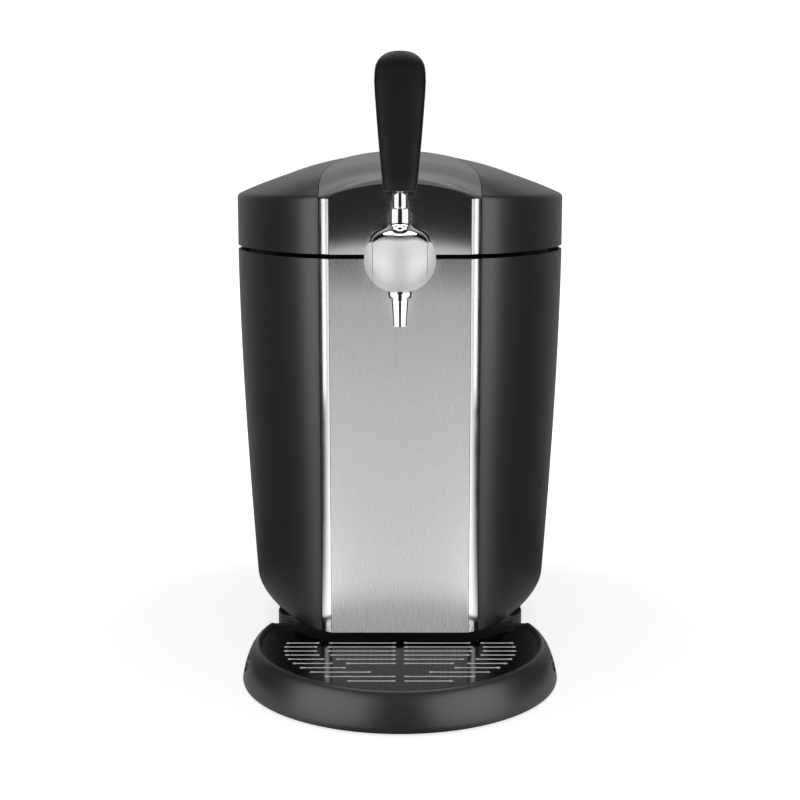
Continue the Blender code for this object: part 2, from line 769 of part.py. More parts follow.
def keg_well():
    centre = Vector((0, well_y(), 0))
    outer = WELL_RADIUS + WELL_WALL
    top = DECK_LEVEL - GAP
    floor_top = WELL_FLOOR + WELL_WALL
    can = [(WELL_RADIUS, top), (outer, top), (outer, WELL_FLOOR), (0, WELL_FLOOR), (0, floor_top),
           (WELL_RADIUS, floor_top)]
    well = add_piece("keg_well", turned(can, centre), "aluminium")
    cut(well, tap_channel())
    jacket_inner = outer + GAP
    jacket_outer = jacket_inner + JACKET_WALL
    jacket_low = WELL_FLOOR - GAP
    shell = [(jacket_inner, top), (jacket_outer, top), (jacket_outer, jacket_floor()), (0, jacket_floor()),
             (0, jacket_low), (jacket_inner, jacket_low)]
    jacket = add_piece("insulation_jacket", turned(shell, centre), "foam")
    cut(jacket, tap_channel())
    cut(jacket, block((-BLOCK_HALF - GAP, well_y(), BLOCK_LOW - GAP),
                      (BLOCK_HALF + GAP, well_y() + jacket_outer + CUT, BLOCK_LOW + BLOCK_HEIGHT + GAP)))
    pad_low = floor_top + GAP
    pad = rod((0, well_y(), pad_low), (0, well_y(), pad_low + PAD_THICK), PAD_RADIUS, 32)
    add_piece("keg_pad", pad, "rubber")
    seal_low = DECK_LEVEL + DECK_THICK + GAP
    seal_top = seal_low + SEAL_HEIGHT
    ring = [(SEAL_INNER, seal_top), (SEAL_OUTER, seal_top), (SEAL_OUTER, seal_low), (SEAL_INNER, seal_low)]
    seal = add_piece("deck_seal", turned(ring, centre), "rubber")
    cut(seal, tap_channel())


def jacket_floor():
    """The jacket stands on the chassis floor."""
    return floor_level() + FLOOR_THICK + GAP


def block_back():
    return well_y() + WELL_RADIUS + WELL_WALL + BLOCK_DEPTH


def fan_level():
    return BLOCK_LOW + BLOCK_HEIGHT / 2


def sink_front():
    return block_back() + MODULE_THICK + 2 * GAP


def fan_front():
    return sink_front() + SINK_BASE + FIN_DEPTH + GAP


def cooling_stack():
    outer = WELL_RADIUS + WELL_WALL
    middle = fan_level()
    cold = add_piece("cold_block", block((-BLOCK_HALF, well_y() + outer / 2, BLOCK_LOW),
                                         (BLOCK_HALF, block_back(), BLOCK_LOW + BLOCK_HEIGHT)), "aluminium")
    cut(cold, rod((0, well_y(), BLOCK_LOW - CUT), (0, well_y(), BLOCK_LOW + BLOCK_HEIGHT + CUT),
                  outer + GAP, ROUND_SEGMENTS))
    add_piece("cooling_module", block((-MODULE_HALF, block_back() + GAP, middle - MODULE_HALF),
                                      (MODULE_HALF, block_back() + GAP + MODULE_THICK, middle + MODULE_HALF)),
              "ceramic")
    add_piece("heat_sink", slab(sink_plan(), middle - SINK_HEIGHT / 2, middle + SINK_HEIGHT / 2), "aluminium")


def sink_plan():
    """Comb outline: a base plate towards the module, with fins towards the fan."""
    front = sink_front()
    root = front + SINK_BASE
    tip = root + FIN_DEPTH
    pitch = (2 * SINK_HALF - FIN_THICK) / (FIN_COUNT - 1)
    points = [(-SINK_HALF, front), (SINK_HALF, front)]
    for index in reversed(range(FIN_COUNT)):
        left = -SINK_HALF + index * pitch
        right = left + FIN_THICK
        if index < FIN_COUNT - 1:
            points.append((right, root))
        points.extend([(right, tip), (left, tip)])
        if index > 0:
            points.append((left, root))
    return points


def fan():
    """Fan frame with its motor boss and axle, and the rotor on the axle."""
    middle = fan_level()
    front = fan_front()
    back = front + FAN_DEPTH
    casing = block((-FAN_HALF, front, middle - FAN_HALF), (FAN_HALF, back, middle + FAN_HALF))
    frame = add_piece("fan_frame", casing, "black_plastic")
    cut(frame, rod((0, front - CUT, middle), (0, back + CUT, middle), FAN_BORE, 32))
    motor = back - FAN_MOTOR_DEPTH
    for index in range(FAN_STRUTS):
        spoke = block((-FAN_STRUT / 2, motor, 0), (FAN_STRUT / 2, back, FAN_BORE + FAN_STRUT / 2))
        turn = Matrix.Rotation(index * 2 * math.pi / FAN_STRUTS, 3, "Y")
        bmesh.ops.rotate(spoke, verts=spoke.verts, matrix=turn)
        bmesh.ops.translate(spoke, verts=spoke.verts, vec=(0, 0, middle))
        join(frame, spoke)
    join(frame, rod((0, motor, middle), (0, back, middle), FAN_HUB, 20))
    axle_end = motor - FAN_BLADE_DEPTH
    join(frame, rod((0, axle_end, middle), (0, back - FAN_MOTOR_DEPTH / 2, middle), FAN_AXLE, 12))
    rotor_back = motor - GAP
    rotor_front = rotor_back - FAN_BLADE_DEPTH
    hub = rod((0, rotor_front, middle), (0, rotor_back, middle), FAN_HUB, 28)
    rotor = add_piece("fan_rotor", hub, "black_plastic", Vector((0, rotor_front, middle)))
    for index in range(FAN_BLADES):
        blade = block((-FAN_BLADE_THICK / 2, -FAN_BLADE_DEPTH / 2, FAN_HUB * BLADE_ROOT_SHARE),
                      (FAN_BLADE_THICK / 2, FAN_BLADE_DEPTH / 2, FAN_BLADE_REACH))
        bmesh.ops.rotate(blade, verts=blade.verts, matrix=Matrix.Rotation(FAN_BLADE_TILT, 3, "Z"))
        bmesh.ops.rotate(blade, verts=blade.verts,
                         matrix=Matrix.Rotation(index * 2 * math.pi / FAN_BLADES, 3, "Y"))
        bmesh.ops.translate(blade, verts=blade.verts, vec=(0, (rotor_front + rotor_back) / 2, middle))
        join(rotor, blade)
    cut(rotor, rod((0, axle_end - GAP, middle), (0, rotor_back + CUT, middle), FAN_AXLE_BORE, 16))


def supply_board():
    """Power supply board, standing on the floor behind the well."""
    floor_top = jacket_floor()
    y = BACK_Y - BOARD_SETBACK
    plate = block((-BOARD_HALF, y, floor_top), (BOARD_HALF, y + BOARD_THICK, floor_top + BOARD_HEIGHT))
    board = add_piece("supply_board", plate, "board_green")
    for side, tall in ((-1, BOARD_BLOCK_HEIGHT), (1, BOARD_BLOCK_HEIGHT * SMALL_BLOCK_SHARE)):
        x = side * BOARD_BLOCK_X
        low = floor_top + BOARD_HEIGHT * BOARD_BLOCK_LOW_SHARE
        join(board, block((x - BOARD_BLOCK_HALF, y + BOARD_THICK / 2, low),
                          (x + BOARD_BLOCK_HALF, y + BOARD_THICK + BOARD_BLOCK_DEPTH, low + tall)))


def mains_inlet():
    low = INLET_LEVEL - INLET_HALF_HEIGHT
    high = INLET_LEVEL + INLET_HALF_HEIGHT
    inlet = add_piece("mains_inlet", block((INLET_X - INLET_HALF_WIDTH, BACK_Y - INLET_DEPTH, low),
                                           (INLET_X + INLET_HALF_WIDTH, BACK_Y, high)), "black_plastic")
    cut(inlet, block((INLET_X - INLET_SOCKET_HALF_WIDTH, BACK_Y - INLET_SOCKET_DEPTH,
                      INLET_LEVEL - INLET_SOCKET_HALF_HEIGHT),
                     (INLET_X + INLET_SOCKET_HALF_WIDTH, BACK_Y + CUT, INLET_LEVEL + INLET_SOCKET_HALF_HEIGHT)))


def switch():
    """Rocker switch in its bezel, turning about a pin that runs across it."""
    low = INLET_LEVEL - SWITCH_HALF_HEIGHT
    high = INLET_LEVEL + SWITCH_HALF_HEIGHT
    bezel = add_piece("switch_bezel", block((SWITCH_X - SWITCH_HALF_WIDTH, BACK_Y - SWITCH_DEPTH, low),
                                            (SWITCH_X + SWITCH_HALF_WIDTH, BACK_Y, high)), "black_plastic")
    wall = SWITCH_WALL
    cut(bezel, block((SWITCH_X - SWITCH_HALF_WIDTH + wall, BACK_Y - SWITCH_DEPTH + wall, low + wall),
                     (SWITCH_X + SWITCH_HALF_WIDTH - wall, BACK_Y + CUT, high - wall)))
    pivot = switch_pivot()
    half = SWITCH_HALF_WIDTH - wall - GAP
    reach = SWITCH_HALF_HEIGHT - wall
    face = reach * math.sin(ROCKER_THROW)
    rear = pivot.y - pivot_drop() * ROCKER_BACK_SHARE
    tip = pivot.y + pivot_rise() - face
    dish = pivot.y + pivot_rise() - face * ROCKER_DISH_SHARE
    taper = reach * ROCKER_TAPER_SHARE
    end = reach * ROCKER_TIP_SHARE
    section = [(rear, pivot.z - taper), (tip, pivot.z - end), (dish, pivot.z), (tip, pivot.z + end),
               (rear, pivot.z + taper)]
    wedge = slab(section, SWITCH_X - half, SWITCH_X + half, axis="X")
    add_piece("switch_rocker", wedge, "black_plastic", pivot)


def pivot_rise():
    """How far the rocker's pin lies behind the bezel's face."""
    return SWITCH_DEPTH * ROCKER_RISE_SHARE


def pivot_drop():
    return SWITCH_DEPTH * ROCKER_DROP_SHARE


def switch_pivot():
    return Vector((SWITCH_X, BACK_Y - pivot_rise(), INLET_LEVEL))


# Lid


def band_half(depth):
    """Half the centre band's width, which draws in behind the nose."""
    return STRIP_EDGE_X - BAND_TAPER * min(max((depth - BAND_TAPER_START) / BAND_TAPER_RUN, 0), 1)


def lid_covers():
    plan = flank(BODY_HALF, 0, band_half(BACK_Y - FASCIA_Y) + GAP)
    rows = TOP_STEPS + 2

    def place(column, row):
        x, y = plan[column]
        edge = band_half(y - FASCIA_Y) + GAP
        if row == 0:
            return (x, y, LID_BOTTOM)
        if row == 1:
            return (x, y, LID_CREASE - CREASE_ROUND)
        share = (row - 2) / TOP_STEPS
        across = edge + (x - edge) * (1 - share)
        level = dome(across, y)
        if row == 2:
            level -= CREASE_ROUND * CREASE_DROP_SHARE
        return (across, y, level)

    for side, name in ((1, "lid_right_cover"), (-1, "lid_left_cover")):
        bent_sheet(len(plan) - 1, rows, place, LID_WALL, name, "black_plastic", side)


def band_depths():
    """Places along the centre band, from the nose to the back, as depths behind the fascia."""
    whole = BACK_Y - FASCIA_Y
    depths = []
    for step in range(NOSE_STEPS):
        depths.append(NOSE_RUN * (1 - math.cos(math.pi / 2 * step / NOSE_STEPS)))
    flat_end = whole - BACK_ROUND
    for step in range(CROWN_STEPS):
        depths.append(NOSE_RUN + (flat_end - NOSE_RUN) * step / CROWN_STEPS)
    for step in range(TAIL_STEPS + 1):
        depths.append(flat_end + BACK_ROUND * math.sin(math.pi / 2 * step / TAIL_STEPS))
    return depths


def lid_band():
    depths = band_depths()
    whole = BACK_Y - FASCIA_Y
    tail_levels = (LID_CREASE - CREASE_ROUND, LID_BOTTOM)

    def place(column, row):
        half = band_half(depths[min(row, len(depths) - 1)])
        x = half * (2 * column / BAND_COLUMNS - 1)
        if row >= len(depths):
            return (x, BACK_Y, tail_levels[row - len(depths)])
        start = STRIP_EDGE_DEPTH * max(abs(x) - FASCIA_HALF, 0) / (STRIP_EDGE_X - FASCIA_HALF)
        y = FASCIA_Y + start + (whole - start) * depths[row] / whole
        crest = BAND_CROWN * min(depths[row] / NOSE_RUN, 1) * (1 - (x / half) ** 2)
        if row == len(depths) - 1:
            crest = -CREASE_ROUND * CREASE_DROP_SHARE
        return (x, y, dome(x, y) + crest)

    band = bent_sheet(BAND_COLUMNS, len(depths) + len(tail_levels) - 1, place, LID_WALL, "lid_center_band",
                      "silver_plastic")
    for side in (-1, 1):
        cut(band, hinge_notch(side))


def lid_fascia():
    arch = []
    steps = 12
    half = FASCIA_HALF - GAP
    for step in range(steps + 1):
        x = half * (1 - 2 * step / steps)
        arch.append((x, dome(x, FASCIA_Y) - LID_WALL * FASCIA_RELIEF_SHARE - GAP))
    plate = add_piece("lid_fascia", slab([(-half, LID_BOTTOM), (half, LID_BOTTOM)] + arch, FASCIA_Y,
                                         FASCIA_Y + SHEET_METAL, axis="Y"), "dark_steel")
    cut(plate, shank_hole())


def lid_inside():
    centre = Vector((0, well_y(), 0))
    low = DECK_LEVEL + DECK_THICK + SEAL_HEIGHT + 2 * GAP
    inner = LINER_RADIUS - LINER_WALL
    under = LINER_TOP - LINER_WALL
    cap = [(0, LINER_TOP), (LINER_RADIUS, LINER_TOP), (LINER_RADIUS, low), (inner, low), (inner, under),
           (0, under)]
    liner = add_piece("lid_liner", turned(cap, centre), "grey_plastic")
    cut(liner, tap_channel())
    foam_low = LINER_TOP + GAP
    add_piece("lid_foam", rod((0, well_y(), foam_low), (0, well_y(), foam_low + FOAM_THICK), FOAM_RADIUS,
                              ROUND_SEGMENTS), "foam")
    plate = plan_slab(BODY_HALF, 0, LID_WALL + GAP, FRAME_LEVEL, FRAME_LEVEL + FRAME_THICK,
                      [circle((0, well_y()), LINER_RADIUS + GAP)])
    frame = add_piece("lid_frame", plate, "grey_plastic")
    cut(frame, tap_channel())
    for side in (-1, 1):
        cut(frame, hinge_notch(side))


def hinge_y():
    return BACK_Y - HINGE_INSET


def hinge_notch(side):
    """Room for the hinge's knuckles in the lid's rear wall and frame."""
    x = side * HINGE_X
    wide = KNUCKLE_WIDTH + GAP + HINGE_PIN_OVERHANG + NOTCH_MARGIN
    return block((x - wide, hinge_y() - KNUCKLE_RADIUS - NOTCH_MARGIN * 2, LID_BOTTOM - CUT),
                 (x + wide, BACK_Y + CUT, HINGE_LEVEL + KNUCKLE_RADIUS + NOTCH_MARGIN))


def hinges():
    """Bracket on the deck, leaf on the lid's rear wall, and the pin through their knuckles."""
    for side, word in ((-1, "left"), (1, "right")):
        x = side * HINGE_X
        inner = sorted((x - side * (KNUCKLE_WIDTH + GAP / 2), x - side * GAP / 2))
        outer = sorted((x + side * (KNUCKLE_WIDTH + GAP / 2), x + side * GAP / 2))
        axis = Vector((0, hinge_y(), HINGE_LEVEL))
        y = hinge_y()
        half = BRACKET_THICK / 2
        post = block((inner[0], y - half, DECK_LEVEL + DECK_THICK + GAP), (inner[1], y + half, HINGE_LEVEL))
        bracket = add_piece(f"hinge_bracket_{word}", post, "steel")
        join(bracket, rod((inner[0], y, HINGE_LEVEL), (inner[1], y, HINGE_LEVEL), KNUCKLE_RADIUS, 20))
        plate = block((outer[0], BACK_Y - LID_WALL - GAP - LEAF_THICK, HINGE_LEVEL),
                      (outer[1], BACK_Y - LID_WALL - GAP, LEAF_TOP))
        leaf = add_piece(f"hinge_leaf_{word}", plate, "steel", axis)
        barrel = rod((outer[0], y, HINGE_LEVEL), (outer[1], y, HINGE_LEVEL), KNUCKLE_RADIUS, 20)
        join(leaf, barrel)
        for knuckle in (bracket, leaf):
            cut(knuckle, rod((x - 3 * KNUCKLE_WIDTH, y, HINGE_LEVEL), (x + 3 * KNUCKLE_WIDTH, y, HINGE_LEVEL),
                             HINGE_BORE, 20))
        reach = KNUCKLE_WIDTH + HINGE_PIN_OVERHANG
        pin = rod((x - reach, y, HINGE_LEVEL), (x + reach, y, HINGE_LEVEL), HINGE_PIN_RADIUS, 20)
        add_piece(f"hinge_pin_{word}", pin, "steel")


# Tap


def tap_centre():
    return Vector((0, FASCIA_Y - TAP_REACH, TAP_LEVEL))


def shank_hole():
    return rod((0, FASCIA_Y - CUT, TAP_LEVEL), (0, FASCIA_Y + SHEET_METAL + CUT, TAP_LEVEL),
               SHANK_RADIUS + GAP, 24)


def tap_channel():
    """Space for the shank and its nut through everything behind the fascias."""
    return block((-CHANNEL_HALF, FASCIA_Y + SHEET_METAL / 2, TAP_LEVEL - CHANNEL_RISE),
                 (CHANNEL_HALF, FASCIA_Y + SHANK_INSIDE + CUT, TAP_LEVEL + CHANNEL_RISE))


def tap_body():
    centre = tap_centre()
    body = add_piece("tap_body", oval_ball(centre, TAP_BALL), "chrome", centre)
    keep(body, block(centre - Vector((TAP_HALF, 2 * TAP_BALL, 2 * TAP_BALL)),
                     centre + Vector((TAP_HALF, 2 * TAP_BALL, 2 * TAP_BALL))))
    cut(body, rod(centre - RIGHT * 2 * TAP_HALF, centre + RIGHT * 2 * TAP_HALF, SHAFT_BORE, 20))
    hub = CRANK_HALF + GAP
    cut(body, rod(centre - RIGHT * hub, centre + RIGHT * hub, CRANK_HUB + GAP * 2, 24))
    sweep = CRANK_REACH + CRANK_TIP + GAP
    cut(body, block(centre + Vector((-hub, 0, -CRANK_TIP - GAP)),
                    centre + Vector((hub, sweep, sweep * math.sin(LEVER_TRAVEL) + 2 * CRANK_TIP))))
    low = centre + Vector((0, CRANK_REACH, -PLUNGER_LOW - GAP))
    high = centre + Vector((0, CRANK_REACH, PLUNGER_HIGH + PLUNGER_TRAVEL + 2 * GAP))
    cut(body, rod(low, high, PLUNGER_RADIUS + GAP, 24))
    cut(body, rod(centre + BACK * SHANK_SEAT, centre + BACK * 2 * TAP_BALL, SHANK_RADIUS + GAP, 24))
    cut(body, rod(centre + BACK * CRANK_REACH, centre + BACK * 2 * TAP_BALL, SHANK_BORE, 20))
    passage = -UP * (PLUNGER_LOW * PASSAGE_SHARE)
    cut(body, rod(centre + passage, centre - UP * 2 * TAP_BALL, SPOUT_BORE, 20))
    cut(body, rod(centre + passage, centre + passage + BACK * CRANK_REACH, SPOUT_BORE / 2, 16))


def valve_plunger():
    """Spool in the tap body, lifted by the crank's tip in its side slot."""
    centre = tap_centre() + BACK * CRANK_REACH
    waist = -PLUNGER_LOW * PLUNGER_WAIST_SHARE
    foot = -PLUNGER_LOW * PLUNGER_FOOT_SHARE
    wide = PLUNGER_RADIUS
    thin = PLUNGER_STEM
    profile = [(0, PLUNGER_HIGH), (wide, PLUNGER_HIGH), (wide, waist), (thin, waist), (thin, foot), (wide, foot),
               (wide, -PLUNGER_LOW), (0, -PLUNGER_LOW)]
    plunger = add_piece("valve_plunger", turned(profile, centre, 24), "steel", centre)
    slot_low = -PLUNGER_LOW * PLUNGER_SLOT_SHARE
    slot_high = CRANK_TIP + GAP
    cut(plunger, block(centre + Vector((-CRANK_HALF - GAP, -2 * wide, slot_low)),
                       centre + Vector((CRANK_HALF + GAP, slot_high, slot_high))))


def cam_shaft():
    """Shaft through the tap body, fixed in the yoke's cheeks, with the crank that lifts the plunger."""
    centre = tap_centre()
    bar = rod(centre - RIGHT * SHAFT_HALF, centre + RIGHT * SHAFT_HALF, SHAFT_RADIUS, 20)
    shaft = add_piece("cam_shaft", bar, "steel", centre)
    join(shaft, rod(centre - RIGHT * CRANK_HALF, centre + RIGHT * CRANK_HALF, CRANK_HUB, 24))
    web = CRANK_HALF * CRANK_WEB_SHARE
    neck = CRANK_TIP * CRANK_NECK_SHARE
    join(shaft, block(centre + Vector((-web, 0, -neck)), centre + Vector((web, CRANK_REACH, neck))))
    tip = centre + BACK * CRANK_REACH
    join(shaft, rod(tip - RIGHT * CRANK_HALF, tip + RIGHT * CRANK_HALF, CRANK_TIP, 16))


def tap_yoke():
    """Two round cheeks joined by a cap over the ball, with the flared neck that takes the stem."""
    centre = tap_centre()
    yoke = add_piece("tap_yoke", oval_ball(centre, TAP_BALL), "chrome", centre)
    reach = RIGHT * (SHAFT_HALF + GAP)
    cut(yoke, rod(centre - reach, centre + reach, SHAFT_RADIUS + GAP, 20))
    neck_top = NECK_FOOT + NECK_HEIGHT
    shoulder, cap_foot = CAP_SHOULDER[0], CAP_SHOULDER[-1][1]
    bend = NECK_RADIUS + (shoulder[0] - NECK_RADIUS) * FLARE_SHARE
    cap = [(0, neck_top), (NECK_RADIUS, neck_top), (NECK_RADIUS, NECK_FOOT),
           (bend, (NECK_FOOT + shoulder[1]) / 2 - FLARE_LIFT), *CAP_SHOULDER, (0, cap_foot)]
    join(yoke, turned(cap, centre, 28))
    half = TAP_HALF + GAP
    cut(yoke, barrel_core(centre, half))
    cut(yoke, slab(window_outline(centre), -half, half, axis="X"))
    cut(yoke, rod(centre + UP * YOKE_INNER / 2, centre + UP * (neck_top + CUT), STEM_BORE + GAP, 16))


def barrel_core(centre, half):
    """The ball's zone between the cheeks, as a turned shape about X."""
    profile = [(0, half)]
    for step in range(CORE_STEPS + 1):
        along = half * (1 - 2 * step / CORE_STEPS)
        profile.append((math.sqrt(YOKE_INNER ** 2 - (along / BALL_STRETCH) ** 2), along))
    profile.append((0, -half))
    mesh = turned(profile, Vector(), 28)
    bmesh.ops.rotate(mesh, verts=mesh.verts, matrix=Matrix.Rotation(math.pi / 2, 3, "Y"))
    bmesh.ops.translate(mesh, verts=mesh.verts, vec=centre)
    return mesh


def window_outline(centre):
    """What is cut from the yoke between its cheeks, in (y, z): all but the bridge over the top."""
    far = 2 * TAP_BALL
    spread = far * math.sin(YOKE_SPAN)
    rise = far * math.cos(YOKE_SPAN)
    return [(centre.y, centre.z), (centre.y - spread, centre.z + rise), (centre.y - far, centre.z - far),
            (centre.y + far, centre.z - far), (centre.y + spread, centre.z + rise)]


def lever():
    """Stem screwed into the neck, and the paddle handle on it."""
    centre = tap_centre()
    neck_top = NECK_FOOT + NECK_HEIGHT
    foot = centre + UP * (neck_top + GAP)
    stem_top = centre + UP * (HANDLE_FOOT - GAP)
    stem = add_piece("lever_stem", rod(foot, stem_top, STEM_RADIUS, 24), "chrome", centre)
    thread_top = centre + UP * (HANDLE_FOOT + STEM_THREAD)
    join(stem, rod(centre + UP * (YOKE_INNER + GAP * 2), thread_top, STEM_BORE, 16))
    low = TAP_LEVEL + HANDLE_FOOT
    wide_level = HANDLE_TOP - HANDLE_HALF_TOP
    outline = [(-HANDLE_HALF_FOOT, low), (HANDLE_HALF_FOOT, low)]
    for step in range(HANDLE_STEPS + 1):
        turn = math.pi * step / HANDLE_STEPS
        outline.append((HANDLE_HALF_TOP * math.cos(turn), wide_level + HANDLE_HALF_TOP * math.sin(turn)))
    half = HANDLE_THICK / 2
    paddle = slab(outline, centre.y - half, centre.y + half, axis="Y")
    handle = add_piece("tap_handle", paddle, "handle_black", centre)
    rounding = handle.modifiers.new("rounding", "BEVEL")
    rounding.width = HANDLE_ROUND
    rounding.segments = 3
    rounding.limit_method = "ANGLE"
    rounding.angle_limit = math.radians(50)
    cut(handle, rod(centre + UP * (HANDLE_FOOT - CUT), centre + UP * (HANDLE_FOOT + STEM_THREAD + GAP),
                    STEM_BORE + GAP, 16))


def spout():
    centre = tap_centre()
    ring = rod((0, centre.y, COLLAR_END), (0, centre.y, COLLAR_TOP), COLLAR_RADIUS, 28)
    collar = add_piece("spout_collar", ring, "chrome")
    cut(collar, oval_ball(centre, TAP_BALL + GAP))
    cut(collar, rod((0, centre.y, COLLAR_END - CUT), (0, centre.y, COLLAR_TOP + CUT), SPOUT_BORE, 20))
    tube = rod((0, centre.y, SPOUT_END), (0, centre.y, COLLAR_END - GAP), SPOUT_TIP_RADIUS, 28, SPOUT_RADIUS)
    pipe = add_piece("tap_spout", tube, "chrome")
    cut(pipe, rod((0, centre.y, SPOUT_END - CUT), (0, centre.y, COLLAR_END + CUT), SPOUT_BORE, 20))


def shank():
    """Threaded shank from the tap body through the fascia, with its flange, seal, and nut."""
    y = tap_centre().y + SHANK_SEAT + GAP
    end = FASCIA_Y + SHANK_INSIDE
    pipe = add_piece("tap_shank", rod((0, y, TAP_LEVEL), (0, end, TAP_LEVEL), SHANK_RADIUS, 24), "chrome")
    cut(pipe, rod((0, y - CUT, TAP_LEVEL), (0, end + CUT, TAP_LEVEL), SHANK_BORE, 20))
    hole = SHANK_RADIUS + GAP
    flange_back = FASCIA_Y - FLANGE_GAP
    inside = FASCIA_Y + SHEET_METAL + GAP
    washer_back = inside + WASHER_THICK
    for name, low, high, radius, sides, look in (
            ("shank_flange", flange_back - FLANGE_THICK, flange_back, FLANGE_RADIUS, 32, "chrome"),
            ("shank_seal", inside, washer_back, NUT_RADIUS, 28, "rubber"),
            ("shank_nut", washer_back + GAP, washer_back + NUT_THICK, NUT_RADIUS, 6, "steel")):
        ring = add_piece(name, rod((0, low, TAP_LEVEL), (0, high, TAP_LEVEL), radius, sides), look)
        cut(ring, rod((0, low - CUT, TAP_LEVEL), (0, high + CUT, TAP_LEVEL), hole, 24))


# Drip tray and grate


def overhang(level, clearance, low, high):
    """The housing's plan at a height, widened by a clearance, as a cutter that reaches past the tray."""
    front = FASCIA_Y - clearance
    side = inward(flank(half_width(level), 0, 0), -clearance)
    right = [Vector((STRIP_EDGE_X, front))] + side
    points = right[:-1] + [Vector((-point.x, point.y)) for point in reversed(right[:-1])]
    return slab([tuple(point) for point in points], low, high)


def drip_tray():
    centre = Vector((0, FASCIA_Y, 0))
    middle = (TRAY_HEIGHT + TRAY_LIFT) / 2
    waist = (TRAY_RADIUS + TRAY_RIM_RADIUS) / 2 + TRAY_BELLY
    profile = [(0, TRAY_HEIGHT), (TRAY_RIM_RADIUS - TRAY_BELLY, TRAY_HEIGHT),
               (TRAY_RIM_RADIUS, TRAY_HEIGHT - TRAY_BELLY), (waist, middle),
               (TRAY_RADIUS - TRAY_BELLY / 2, TRAY_LIFT + middle / 3), (TRAY_RADIUS, TRAY_LIFT), (0, TRAY_LIFT)]
    tray = add_piece("drip_tray", turned(profile, centre, TRAY_SEGMENTS), "black_plastic")
    wide = 2 * TRAY_RADIUS
    cut(tray, block((-wide, FASCIA_Y + TRAY_BACK - GAP, -CUT), (wide, FASCIA_Y + wide, TRAY_HEIGHT + CUT)))
    under = turned([(0, TRAY_FLOOR), (TRAY_RADIUS - TRAY_SKIRT_WALL, TRAY_FLOOR),
                    (TRAY_RADIUS - TRAY_SKIRT_WALL, -CUT), (0, -CUT)], centre, TRAY_SEGMENTS)
    cut(tray, under)
    ledge = GRATE_TOP - GRATE_THICK - GAP
    floor = TRAY_FLOOR + TRAY_FLOOR_THICK
    top = TRAY_HEIGHT + CUT
    for radius, low, back in ((TRAY_BASIN_RADIUS - GRATE_LEDGE, floor, GRATE_BACK - GRATE_LEDGE),
                              (TRAY_BASIN_RADIUS, ledge, GRATE_BACK + GAP)):
        hollow = turned([(0, top), (radius, top), (radius, low), (0, low)], centre, TRAY_SEGMENTS)
        behind = FASCIA_Y + back
        bmesh.ops.bisect_plane(hollow, geom=hollow.verts[:] + hollow.edges[:] + hollow.faces[:],
                               plane_co=(0, behind, 0), plane_no=BACK, clear_outer=True)
        bmesh.ops.holes_fill(hollow, edges=[edge for edge in hollow.edges if edge.is_boundary])
        cut(tray, hollow)
    climb = (GRIP_LEVEL - middle) / (TRAY_HEIGHT - TRAY_BELLY - middle)
    skin = waist + (TRAY_RIM_RADIUS - waist) * climb
    for side in (-1, 1):
        grip = Vector((side * math.sin(GRIP_ANGLE), -math.cos(GRIP_ANGLE), 0))
        place = centre + grip * (skin - GRIP_DEPTH) + UP * GRIP_LEVEL
        pocket = rod(place, place + grip * 2 * GRIP_WIDTH, GRIP_WIDTH / 2, 14)
        bmesh.ops.scale(pocket, verts=pocket.verts, vec=(1, 1, GRIP_HEIGHT / GRIP_WIDTH),
                        space=Matrix.Translation(-place))
        cut(tray, pocket)


def slot_outline(left, right, y):
    """A slot with pointed round ends."""
    half = SLOT_WIDTH / 2
    return [(left, y), (left + half, y - half), (right - half, y - half), (right, y), (right - half, y + half),
            (left + half, y + half)]


def reach_at(row, radius, span):
    share = (row - MIDDLE_ROW) / span
    return radius * math.sqrt(max(1 - share ** 2, 0))


def grate_slots():
    slots = []
    for row in range(SLOT_ROWS):
        y = FASCIA_Y - FIRST_ROW - row * ROW_PITCH
        start = max(reach_at(row, OUTER_START, OUTER_START_SPAN), SLOT_BRIDGE)
        runs = [(start, reach_at(row, OUTER_REACH, OUTER_SPAN))]
        if row < INNER_ROWS:
            runs.append((SLOT_BRIDGE, reach_at(row, INNER_REACH, INNER_SPAN)))
        for near, far in runs:
            slots.append(slot_outline(near, far, y))
            slots.append(slot_outline(-far, -near, y))
    return slots


def drip_grate():
    centre = (0, FASCIA_Y)
    low = GRATE_TOP - GRATE_THICK
    plate = slab(circle(centre, GRATE_RADIUS, TRAY_SEGMENTS), low, GRATE_TOP)
    grate = add_piece("drip_grate", plate, "dark_steel")
    first, *others = grate_slots()
    cut(grate, slab(first, low - CUT, GRATE_TOP + CUT, others))
    wide = 2 * TRAY_RADIUS
    cut(grate, block((-wide, FASCIA_Y + GRATE_BACK, low - CUT), (wide, FASCIA_Y + wide, GRATE_TOP + CUT)))
    cut(grate, overhang(GRATE_TOP + GRATE_LIFT + FOOT_ROUND, GRATE_CLEARANCE, low - CUT, GRATE_TOP + CUT))


def build():
    side_panels()
    rear_cover()
    rear_screws()
    front_fascia()
    trim_strips()
    chassis_floor()
    top_deck()
    pedestal()
    keg_well()
    cooling_stack()
    fan()
    supply_board()
    mains_inlet()
    switch()
    lid_covers()
    lid_band()
    lid_fascia()
    lid_inside()
    hinges()
    tap_body()
    valve_plunger()
    cam_shaft()
    tap_yoke()
    lever()
    spout()
    shank()
    drip_tray()
    drip_grate()


clear_scene()
PARTS = new_collection("mini_keg_beer_dispenser")
CUTTERS = new_collection("cutters")
build()
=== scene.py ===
"""A cooler for small beer kegs: shell, lid, lever tap and drip tray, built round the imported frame.

Metres, +Z up. The front faces -Y, and X = 0 is the plane of symmetry.
"""

